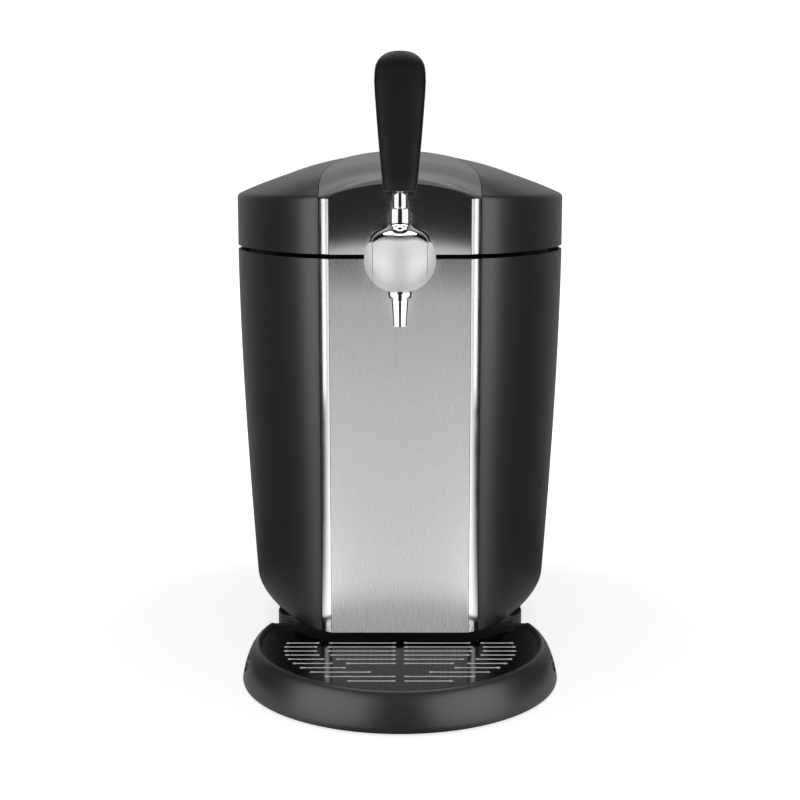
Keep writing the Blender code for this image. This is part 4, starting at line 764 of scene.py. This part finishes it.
def corner_strip(node, name):
    """Bright corner strip with a softly crowned face; the lid's run up to the band."""
    low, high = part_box(node)
    rise = 0.0024 if node.startswith("lid") else 0.0
    crowned = 0.0004
    side = 1 if low.x > 0 else -1
    inner, outer = Vector((FASCIA_HALF, FASCIA_Y, 0)), Vector((STRIP_EDGE, FASCIA_Y + STRIP_DEPTH, 0))
    out = (outer - inner).cross(UP).normalized()
    outline = [inner.lerp(outer, share) + out * crowned * (1 - (2 * share - 1) ** 2)
               for share in steps_between(0, 1, 12)]
    outline += [Vector((STRIP_EDGE - SHEET / 2, FASCIA_Y + STRIP_DEPTH + SHEET, 0)),
                Vector((FASCIA_HALF, FASCIA_Y + SHEET * 1.3, 0))]
    mesh = slab([Vector((point.x * side, point.y, low.z)) for point in outline],
                UP * (high.z + rise - low.z))
    return dressed(eased(shaped(mesh, name), 0.0003), "strip_chrome", node)


# The tap


def oval(reach, spare=0.0):
    """Profile about X of the tap's oval form, from -reach to reach; spare widens it."""
    tap = sizes().tap
    return [((tap.ball + spare) * math.sqrt(max(1 - (x / (tap.ball * tap.stretch)) ** 2, 0)), x)
            for x in (reach * math.sin(turn) for turn in steps_between(-math.pi / 2, math.pi / 2, 48))]


def tap_barrel():
    """Round tap body between the lever's cheeks, hollow for the crank and the valve."""
    tap = sizes().tap
    half = tap.barrel_half
    zone = oval(half)
    rim = zone[0][0] - 0.0004
    profile = [(0, -half), (rim, -half)] + zone + [(rim, half), (0, half)]
    barrel = applied(walled(shaped(turned(profile, TAP, 128, RIGHT), "tap_barrel"), 0.0022))
    across, down = RIGHT * tap.ball, -UP * 2 * tap.ball
    combined(barrel, "DIFFERENCE", rod(TAP - across, TAP + across, CRANK_BORE),
             rod(TAP + BACK * 0.018, TAP + BACK * 0.03, SHANK_HOLE),
             rod(TAP - UP * 0.018, TAP + down, VALVE_BORE))
    return dressed(barrel, "satin_plating", "tap_body")


def tap_cheeks():
    """Lever's foot: round cheeks, a cap over the barrel with a dark band under its lip that is painted
    shadow, and the collar.
    """
    tap = sizes().tap
    neck, half = tap.neck, tap.barrel_half + GAP
    cap = [(0, 0.0367), (neck - 0.0007, 0.0367), (neck - 0.0002, 0.0365), (neck, 0.0360), (neck, 0.0285),
           (neck + 0.0002, 0.0268), (neck + 0.0008, 0.0256), (0.0094, 0.0246), (0.0122, 0.0232),
           (0.0156, 0.0215), (0.0173, 0.0205), (0.0187, 0.0194), (0.0202, 0.0180), (0.0212, 0.0165),
           (0.0218, 0.0150), (0.0221, 0.0135), (0.0222, 0.0120), (0.0222, 0.0095), (0, 0.0095)]
    far = 0.04    # past every form of the tap
    window = [(-half, -far), (half, -far), (half, 0.0120), (0.0190, 0.0141), (0.0177, 0.0158),
              (0.0160, 0.0171), (0.0140, 0.0181), (0.0120, 0.0186), (0.0060, 0.0187), (0, 0.0183)]
    window += [(-x, z) for x, z in reversed(window[2:-1])]
    lip = sorted((x, z) for x, z in window if z > 0)
    # under: outline of the band below the lip that carries the painted shadow of the gap over the barrel
    under = [(x * 1.01, z + 0.0003) for x, z in lip] + [(x * 1.01, z - 0.0012) for x, z in reversed(lip)]

    def right_through(outline):
        return slab([TAP + Vector((x, -far, z)) for x, z in outline], BACK * 2 * far)

    def core(spare):
        return turned([(0, -half)] + oval(half, spare) + [(0, half)], TAP, 128, RIGHT)

    cheeks = shaped(turned(oval(tap.ball * tap.stretch), TAP, 144, RIGHT), "lever_foot")
    combined(cheeks, "UNION", turned(cap, TAP, 144))
    combined(cheeks, "DIFFERENCE", core(0.0004), right_through(window),
             rod(TAP - RIGHT * 0.0228, TAP + RIGHT * 0.0228, CRANK_BORE),
             rod(TAP, TAP + UP * far, CRANK_BORE))
    # A dark band just under the cap's lip, given the dark steel: painted shadow of the gap between the lip
    # and the barrel
    lining = shaped(turned([(max(radius - 0.0003, 0), z - 0.0002) for radius, z in cap], TAP, 144), "lining")
    combined(lining, "INTERSECT", right_through(under))
    combined(lining, "DIFFERENCE", core(0.0006))
    combined(cheeks, "UNION", released(lining))
    dressed(cheeks, ("bright_chrome", "satin_plating", "dark_polished_steel"), "tap_yoke")
    # Faces inside the window below the lip take the dark steel, a painted shadow; the cheeks' lower faces
    # take the satin plating
    for face in cheeks.data.polygons:
        x, z = abs(face.center.x), face.center.z - TAP.z
        painted_shadow_level = max((level for reach, level in lip if reach >= x - 0.002), default=0.0)
        if x < half - 0.0003 and z < painted_shadow_level - 0.0001:
            face.material_index = 2
        else:
            face.material_index = int(x > half and z < 0.0125)
    # Every rounded edge takes the dark steel too: painted dark lines of shade along the edges and under the
    # lip
    eased(cheeks, 0.0006, 3, math.radians(50)).modifiers["eased"].material = 2
    return cheeks


def lever_stem():
    tap = sizes().tap
    stem, thread = tap.stem, 0.0030
    profile = [(0, 0.0252), (thread, 0.0252), (thread, 0.0370), (stem - 0.0004, 0.0370), (stem, 0.0374),
               (stem, 0.0478), (stem - 0.0004, 0.0485), (thread, 0.0485), (thread, 0.0600),
               (thread - 0.0005, 0.0608), (0, 0.0608)]
    return dressed(shaped(turned(profile, TAP, 64), "stem_rod"), "bright_chrome", "lever_stem")


def spout_collar():
    ball = sizes().tap.ball + GAP
    seat = [(radius, -math.sqrt(ball ** 2 - radius ** 2)) for radius in steps_between(0.0088, VALVE_BORE, 6)]
    profile = [(VALVE_BORE, -0.0280), (0.0084, -0.0280), (0.0090, -0.0278), (0.00925, -0.0272),
               (0.00925, -0.0236), (0.0091, -0.0231)] + seat + [(VALVE_BORE, -0.0280)]
    return dressed(shaped(turned(profile, TAP, 72), "spout_ring"), "bright_chrome", "spout_collar")


def spout():
    foot, top = (corner.z - TAP.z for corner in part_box("tap_spout"))
    profile = [(VALVE_BORE, foot + 0.0004), (0.0044, foot), (0.0050, foot), (0.0054, foot + 0.0005),
               (0.0056, foot + 0.004), (0.0060, foot + 0.010), (0.0065, foot + 0.0165), (0.0068, top - 0.001),
               (0.0066, top), (VALVE_BORE, top), (VALVE_BORE, foot + 0.0004)]
    return dressed(shaped(turned(profile, TAP, 64), "spout"), "bright_chrome", "tap_spout")


def paddle():
    """Handle of the lever: a broad, softly pillowed paddle with a round top."""
    low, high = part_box("tap_handle")
    middle = Vector((0, TAP.y, 0))
    # heights above the table in metres, each with half the paddle's width there in millimetres
    widths = ((0.3808, 12.2), (0.3900, 13.0), (0.4000, 13.95), (0.4119, 15.1), (0.4235, 16.1), (0.4352, 17.0),
              (0.4469, 17.85), (0.4527, 18.25), (0.4585, 18.5), (0.4643, 18.3), (0.4680, 17.85),
              (0.4702, 17.3), (0.4716, 16.65), (0.4731, 15.8), (0.4745, 14.7), (0.4760, 13.3),
              (0.4775, 11.3), (0.4789, 8.35), (0.4797, 4.6))
    half_thick = sizes().tap.handle_thick / 2
    bore_top = low.z + 0.0123
    square = 3.4          # how square the paddle is in plan
    round_from = 0.466    # height from which its top is rounded
    turns = steps_between(0, 2 * math.pi, 72)

    def ring(half_x, half_y, level, power):
        points = []
        for turn in turns:
            c, s = math.cos(turn), math.sin(turn)
            points.append(middle + Vector((half_x * math.copysign(abs(c) ** (2 / power), c),
                                           half_y * math.copysign(abs(s) ** (2 / power), s), level)))
        return points

    rows = [ring(0, 0, bore_top, 2), ring(CRANK_BORE, CRANK_BORE, bore_top, 2),
            ring(CRANK_BORE, CRANK_BORE, low.z, 2), ring(0.0108, half_thick - 0.0018, low.z, square),
            ring(0.0117, half_thick - 0.0008, low.z + 0.0004, square)]
    for level, wide in widths:
        level = max(level, low.z + 0.0014)
        past = clamp((level - round_from) / (high.z - round_from))
        thick = half_thick * (0.97 + 0.03 * clamp((level - low.z) / 0.02)) * (1 - 0.62 * past ** 2.6)
        rows.append(ring(wide / 1000, thick, level, square - 0.9 * past))
    rows.append(ring(0, 0, high.z, 2))
    return dressed(shaped(through(rows), "paddle_handle"), "soft_black_handle", "tap_handle")


# The tray and its grate


def plan_cutter(level, clearance, low, high):
    """The housing's outline at a level, with a clearance at its sides and front, as a solid."""
    plan = side_plan(half_width(level), -clearance, 0)
    points = [Vector((STRIP_EDGE, FASCIA_Y - clearance, low))]
    points += [Vector((x, y - clearance if y < 0 else y, low)) for x, y in plan[:-1]]
    points += [Vector((-point.x, point.y, low)) for point in reversed(points)]
    return slab(points, UP * (high - low))


def drip_tray():
    """Round tray with a rolled rim, a flared skirt, a stepped basin and a finger pocket at each side."""
    tray = sizes().tray
    centre = Vector((0, FASCIA_Y, 0))
    foot = tray.radius
    profile = [(0, 0.0292), (tray.rim + 0.0003, 0.0292), (tray.rim + 0.0012, 0.02955),
               (tray.rim + 0.0024, 0.0296), (tray.rim + 0.0036, 0.0292), (tray.rim + 0.0049, 0.0281),
               (tray.rim + 0.0063, 0.0262), (foot - 0.0064, 0.0234), (foot - 0.0045, 0.0192),
               (foot - 0.0028, 0.0145), (foot - 0.0014, 0.0096), (foot - 0.0005, 0.0053), (foot, 0.0024),
               (foot - 0.0003, 0.0012), (foot - 0.0012, 0.0008), (foot - 0.0045, 0.0008),
               (foot - 0.0045, 0.0063), (0, 0.0063)]
    made = shaped(trimmed(turned(profile, centre, 192), tray.back - GAP), "tray_moulding")
    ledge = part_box("drip_grate")[0].z - GAP
    tools = []
    for radius, low, back in ((tray.rim - 0.003, 0.0083, tray.back - 0.007),
                              (tray.rim, ledge, tray.back - 0.0037)):
        hollow = turned([(0, 0.032), (radius, 0.032), (radius, low), (0, low)], centre, 192)
        tools.append(trimmed(hollow, back))
    pocket_turn, pocket_halves, pocket_level = math.radians(82), (0.0095, 0.0055, 0.0068), 0.0158
    for turn in (-pocket_turn, pocket_turn):
        grip = Vector((math.sin(turn), -math.cos(turn), 0))
        pocket = bmesh.new()
        bmesh.ops.create_uvsphere(pocket, u_segments=48, v_segments=32, radius=1)
        bmesh.ops.scale(pocket, verts=pocket.verts, vec=pocket_halves)
        bmesh.ops.rotate(pocket, verts=pocket.verts, matrix=BACK.rotation_difference(grip).to_matrix(),
                         cent=(0, 0, 0))
        bmesh.ops.translate(pocket, verts=pocket.verts,
                            vec=centre + grip * (foot - 0.0025) + UP * pocket_level)
        tools.append(pocket)
    combined(made, "DIFFERENCE", *tools)
    return dressed(eased(made, 0.0005, 3, math.radians(38)), "satin_tray_moulding", "drip_tray")


def dog_bone(left, right, y, low, high):
    """One slot with round ends a little wider than its middle."""
    tray = sizes().tray
    half, end = tray.slot_half, tray.slot_end
    waist = math.pi - math.asin(half / end)
    points = []
    for x, reach in ((right - end, end), (left + end, -end)):
        for turn in steps_between(-waist, waist, 12):
            points.append(Vector((x + reach * math.cos(turn), y + reach * math.sin(turn), low)))
    return slab(points, UP * (high - low))


# The slots end on three ovals about the grate's middle: half an oval's width, and its depth in rows
OUTER_FAR, OUTER_NEAR, INNER_FAR = (0.0906, 8.63), (0.0646, 6.15), (0.0572, 5.45)
OVALS_ROW = 1.2      # row on which the ovals are widest
FIRST_ROW = 0.0054   # from the fascia to the first row
RIB_HALF = 0.003     # half the rib between the slots of the left and right half
INNER_ROWS = 6       # rows that have an inner slot too


def slot_rows():
    """Left end, right end and depth of every slot on the right half."""
    tray = sizes().tray
    runs = []
    for row in range(tray.rows):
        y = FASCIA_Y - FIRST_ROW - row * tray.pitch
        outer_far, outer_near, inner_far = (
            half * math.sqrt(max(1 - ((row - OVALS_ROW) / span) ** 2, 0))
            for half, span in (OUTER_FAR, OUTER_NEAR, INNER_FAR))
        runs.append((max(outer_near, RIB_HALF), outer_far, y))
        if row < INNER_ROWS:
            runs.append((RIB_HALF, inner_far, y))
    return runs


def drip_grate():
    """Slotted steel plate with bright, softly stamped edges."""
    tray = sizes().tray
    low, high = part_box("drip_grate")
    centre = Vector((0, FASCIA_Y, low.z))
    plate = bmesh.new()
    bmesh.ops.create_cone(plate, cap_ends=True, segments=240, radius1=tray.grate, radius2=tray.grate,
                          depth=high.z - low.z, matrix=Matrix.Translation(centre + UP * (high.z - low.z) / 2))
    made = shaped(plate, "slotted_plate")
    deep, top = low.z - 0.002, high.z + 0.002
    lifted, clearance = 0.0892, 0.0028    # level up to which the grate clears the housing, and by how much
    slots = [dog_bone(*ends, y, deep, top) for near, far, y in slot_rows()
             for ends in ((near, far), (-far, -near))]
    behind = block((-0.2, high.y, deep), (0.2, high.y + 0.2, top))
    combined(made, "DIFFERENCE", joined(*slots), behind, plan_cutter(lifted, clearance, deep, top))
    dressed(made, ("dark_polished_steel", "bright_stamped_edge"), "drip_grate")
    for face in made.data.polygons:
        face.material_index = int(abs(face.normal.z) <= 0.98)
    eased(made, 0.0003, 2, math.radians(50)).modifiers["eased"].material = 1
    return made


# Solids kept in the form of the frame, by finish: how far their edges are eased, in tenths of a millimetre

KEPT_FORMS = {
    "satin_tray_moulding": {"base_housing": 8},
    "grained_black_moulding": {"bottom_plate": 4, "rear_cover": 4, "fan_frame": 4, "mains_inlet": 4},
    "satin_black_moulding": {"fan_rotor": 2, "switch_bezel": 3, "switch_rocker": 4},
    "drawn_aluminium": {"keg_well": 6, "cold_block": 4},
    "pressed_aluminium": {"heat_sink": 2},
    "closed_cell_foam": {"insulation_jacket": 8, "lid_foam": 8},
    "pale_grey_moulding": {"chassis_floor": 4, "top_deck": 5, "lid_liner": 8, "lid_frame": 5},
    "matt_rubber": {"keg_pad": 8, "deck_seal": 10, "shank_seal": 3, "rubber_foot_1": 5, "rubber_foot_2": 5,
                    "rubber_foot_3": 5, "rubber_foot_4": 5},
    "fired_ceramic": {"cooling_module": 2},
    "lacquered_board": {"supply_board": 3},
    "machined_steel": {"hinge_bracket_left": 3, "hinge_bracket_right": 3, "hinge_leaf_left": 3,
                       "hinge_leaf_right": 3, "hinge_pin_left": 2, "hinge_pin_right": 2, "rear_screw_1": 2,
                       "rear_screw_2": 2, "rear_screw_3": 2, "rear_screw_4": 2, "valve_plunger": 2,
                       "cam_shaft": 2, "shank_nut": 3},
    "bright_chrome": {"tap_shank": 2, "shank_flange": 4},
}


def kept_form(node, material, width):
    return dressed(eased(shaped(copied(node), node + "_eased"), width, 2), material, node)


# Studio

FRONT_PLATES = ("front_plate", "lid_front_plate")
STRIP_PIECES = ("corner_strip_left", "corner_strip_right", "lid_strip_left", "lid_strip_right")
MOULDED_PIECES = ("side_panel_right", "side_panel_left", "lid_cover_right", "lid_cover_left", "lid_band",
                  "tray_moulding", "base_housing_eased")
TAP_PIECES = ("tap_barrel", "lever_foot", "stem_rod", "spout_ring", "spout", "shank_flange_eased",
              "tap_shank_eased")


def backdrop_world():
    """White behind the object, for the camera and for reflections, and a dim room in front of it."""
    world = bpy.data.worlds.new("studio_room")
    bpy.context.scene.world = world
    world.use_nodes = True
    tree = world.node_tree
    tree.nodes.clear()
    add, link = tree.nodes.new, tree.links.new
    path, places, split = add("ShaderNodeLightPath"), add("ShaderNodeTexCoord"), add("ShaderNodeSeparateXYZ")
    ramp = add("ShaderNodeValToRGB")
    dark, pale = ramp.color_ramp.elements
    dark.position, dark.color = 0.5, (0.02, 0.02, 0.0205, 1)
    pale.position, pale.color = 0.9, (0.58, 0.58, 0.58, 1)
    link(places.outputs["Generated"], split.inputs["Vector"])
    link(split.outputs["Y"], ramp.inputs["Fac"])
    white, mirrored, room = (add("ShaderNodeBackground") for _ in range(3))
    room.inputs["Color"].default_value = (0.28, 0.28, 0.283, 1)
    white.inputs["Color"].default_value = (1, 1, 1, 1)
    link(ramp.outputs["Color"], mirrored.inputs["Color"])
    surface = room.outputs["Background"]
    for kind, seen in (("Glossy", mirrored), ("Camera", white), ("Transmission", white)):
        surface = laid_over(tree, path.outputs[f"Is {kind} Ray"], surface, seen.outputs["Background"])
    link(surface, add("ShaderNodeOutputWorld").inputs["Surface"])


def floor():
    """Pale table top that fades into the white backdrop and keeps the shadow near the foot.

    Seen in a glossy surface it glows at the front corners and a little behind, by its own light.
    """
    mesh = bmesh.new()
    bmesh.ops.create_grid(mesh, x_segments=8, y_segments=8, size=30)
    made = shaped(mesh, "table_top")
    tree, shader = finish("pale_table", (0.95, 0.95, 0.95), 0.6, Specular_IOR_Level=0.2)
    made.data.materials.append(bpy.data.materials["pale_table"])
    add, link = tree.nodes.new, tree.links.new
    path = add("ShaderNodeLightPath")

    def vector_math(operation):
        node = add("ShaderNodeVectorMath")
        node.operation = operation
        link(own_places(tree), node.inputs[0])
        return node

    def fading(value, start, end, low, high):
        return spread(tree, value, low, high, start, end, "SMOOTHSTEP")

    def sum_or_product(operation, first, second):
        node = add("ShaderNodeMath")
        node.operation = operation
        link(first, node.inputs[0])
        link(second, node.inputs[1])
        return node.outputs["Value"]

    def glowing(share, under):
        """Light of its own, mixed in over a shader by a share."""
        light = add("ShaderNodeEmission")
        return light.inputs["Strength"], laid_over(tree, share, under, light.outputs["Emission"])

    distance = vector_math("LENGTH").outputs["Value"]
    split = add("ShaderNodeSeparateXYZ")
    link(vector_math("NORMALIZE").outputs["Vector"], split.inputs["Vector"])
    heading = split.outputs["Y"]
    corners = sum_or_product("MULTIPLY", fading(heading, -0.99, -0.94, 0.02, 1.3),
                             fading(heading, -0.65, -0.1, 1, 0.03))
    mirrored = sum_or_product("ADD", corners, fading(heading, 0.6, 0.95, 0, 0.45))
    gloss = sum_or_product("MULTIPLY", fading(distance, 0.16, 0.28, 0, 1), path.outputs["Is Glossy Ray"])
    seen = sum_or_product("MULTIPLY", fading(distance, 0.24, 0.50, 0.6, 1), path.outputs["Is Camera Ray"])
    strength, surface = glowing(gloss, shader.outputs["BSDF"])
    link(mirrored, strength)
    strength, surface = glowing(seen, surface)
    strength.default_value = 1.3
    link(surface, tree.nodes["Material Output"].inputs["Surface"])


def softbox(name, place, aim, width, height, radiance, lit=(), shading=()):
    """A soft lamp of that brightness, for all pieces or those named, shaded by all pieces or those named."""
    light = bpy.data.lights.new(name, "AREA")
    light.shape = "RECTANGLE"
    light.size = width
    light.size_y = height
    light.energy = radiance * math.pi * width * height
    lamp = added(name, light)
    place, aim = Vector(place), Vector(aim)
    turn = (aim - place).to_track_quat("-Z", "Y")
    lamp.matrix_world = Matrix.Translation(place) @ turn.to_matrix().to_4x4()
    lamp.visible_camera = False
    for pieces, kind in ((lit, "receiver"), (shading, "blocker")):
        if pieces:
            chosen = bpy.data.collections.new(f"{name}_{kind}s")
            for piece in pieces:
                chosen.objects.link(bpy.data.objects[piece])
            setattr(lamp.light_linking, f"{kind}_collection", chosen)


def camera():
    studio = sizes().studio
    view = bpy.data.cameras.new("camera")
    view.lens = studio.lens
    view.sensor_width = 36
    made = added("camera", view)
    made.location = (0, FASCIA_Y - studio.distance, studio.height)
    made.rotation_euler = (math.pi / 2 - studio.pitch, 0, 0)
    bpy.context.scene.camera = made


# Operators


class Builder:
    """What every builder in the panel shares."""
    bl_options = {"REGISTER", "UNDO"}


class DISPENSER_OT_finishes(Builder, bpy.types.Operator):
    """Makes the finishes"""
    bl_idname = "dispenser.finishes"
    bl_label = "Finishes"

    def execute(self, context):
        make_finishes()
        return {"FINISHED"}


class DISPENSER_OT_side_panels(Builder, bpy.types.Operator):
    """Builds the housing's side panels"""
    bl_idname = "dispenser.side_panels"
    bl_label = "Side panels"

    def execute(self, context):
        side_panel(1, "right")
        side_panel(-1, "left")
        return {"FINISHED"}


class DISPENSER_OT_lid(Builder, bpy.types.Operator):
    """Builds the lid's covers, centre band and front plate"""
    bl_idname = "dispenser.lid"
    bl_label = "Lid"

    def execute(self, context):
        lid_cover(1, "right")
        lid_cover(-1, "left")
        lid_band()
        lid_fascia()
        return {"FINISHED"}


class DISPENSER_OT_front(Builder, bpy.types.Operator):
    """Builds the brushed front plate and the four corner strips"""
    bl_idname = "dispenser.front"
    bl_label = "Front plate and strips"

    def execute(self, context):
        front_fascia()
        for word in ("left", "right"):
            corner_strip(f"trim_strip_{word}", f"corner_strip_{word}")
            corner_strip(f"lid_trim_{word}", f"lid_strip_{word}")
        return {"FINISHED"}


class DISPENSER_OT_tap(Builder, bpy.types.Operator):
    """Builds the tap and its lever"""
    bl_idname = "dispenser.tap"
    bl_label = "Tap"

    def execute(self, context):
        tap_barrel()
        tap_cheeks()
        lever_stem()
        spout_collar()
        spout()
        paddle()
        return {"FINISHED"}


class DISPENSER_OT_tray(Builder, bpy.types.Operator):
    """Builds the drip tray and its slotted grate"""
    bl_idname = "dispenser.tray"
    bl_label = "Drip tray"

    def execute(self, context):
        drip_tray()
        drip_grate()
        return {"FINISHED"}


class DISPENSER_OT_kept_forms(Builder, bpy.types.Operator):
    """Finishes the inner parts, the back and the fastenings"""
    bl_idname = "dispenser.kept_forms"
    bl_label = "Inner parts, back and fastenings"

    def execute(self, context):
        for material, widths in KEPT_FORMS.items():
            for node, tenths in widths.items():
                kept_form(node, material, tenths / 10000)
        return {"FINISHED"}


class DISPENSER_OT_studio(Builder, bpy.types.Operator):
    """Sets up the table, the lamps and the camera"""
    bl_idname = "dispenser.studio"
    bl_label = "Studio"

    def execute(self, context):
        studio = sizes().studio
        backdrop_world()
        floor()
        softbox("overhead_softbox", (0, 0.05, 1.5), (0, 0, 0.2), 1.4, 1.0, studio.top)
        for side, word in ((1, "right"), (-1, "left")):
            softbox(f"{word}_corner_softbox", (side * 1.16, -1.05, 0.5), (0, -0.1, 0.25), 1.7, 1.6,
                    studio.key, MOULDED_PIECES + ("slotted_plate",))
            softbox(f"{word}_tap_softbox", (side * 0.79, -0.56, 0.38), (0, -0.14, 0.33), 1.42, 1.3,
                    studio.tap, TAP_PIECES)
            softbox(f"{word}_side_softbox", (side * 1.3, -0.33, 0.45), (0, -0.09, 0.25), 0.32, 1.5,
                    studio.strip, STRIP_PIECES)
        softbox("table_glow", (0, -6.12, 0.002), (0, -6.12, 1), 0.9, 12, studio.glow,
                FRONT_PLATES, FRONT_PLATES)
        softbox("foot_glow", (0, -0.148, 0.003), (0, -0.148, 1), 0.5, 0.06, studio.glow * 8,
                FRONT_PLATES[:1], FRONT_PLATES[:1])
        camera()
        bpy.context.scene.view_settings.view_transform = "Standard"
        return {"FINISHED"}


OPERATORS = (DISPENSER_OT_finishes, DISPENSER_OT_side_panels, DISPENSER_OT_lid, DISPENSER_OT_front,
             DISPENSER_OT_tap, DISPENSER_OT_tray, DISPENSER_OT_kept_forms, DISPENSER_OT_studio)


class DISPENSER_PT_panel(bpy.types.Panel):
    """The builders and their settings"""
    bl_idname = "DISPENSER_PT_panel"
    bl_label = "Keg cooler"
    bl_space_type = "VIEW_3D"
    bl_region_type = "UI"
    bl_category = "Dispenser"

    def draw(self, context):
        for group in ("housing", "lid", "tap", "tray", "finish", "studio"):
            box = self.layout.box()
            box.label(text=group.capitalize())
            settings = getattr(context.scene.dispenser, group)
            for name in settings.bl_rna.properties.keys():
                if name not in ("rna_type", "name"):
                    box.prop(settings, name)
        for operator in OPERATORS:
            self.layout.operator(operator.bl_idname)


GROUPS = (HousingSizes, LidSizes, TapSizes, TraySizes, FinishColours, StudioSizes, DispenserSettings)


def register():
    for part in (*GROUPS, *OPERATORS, DISPENSER_PT_panel):
        bpy.utils.register_class(part)
    bpy.types.Scene.dispenser = PointerProperty(type=DispenserSettings)


def unregister():
    del bpy.types.Scene.dispenser
    for part in reversed((*GROUPS, *OPERATORS, DISPENSER_PT_panel)):
        bpy.utils.unregister_class(part)


def main():
    register()
    for operator in OPERATORS:
        getattr(bpy.ops.dispenser, operator.bl_idname.split(".")[1])()


if __name__ == "__main__":
    main()
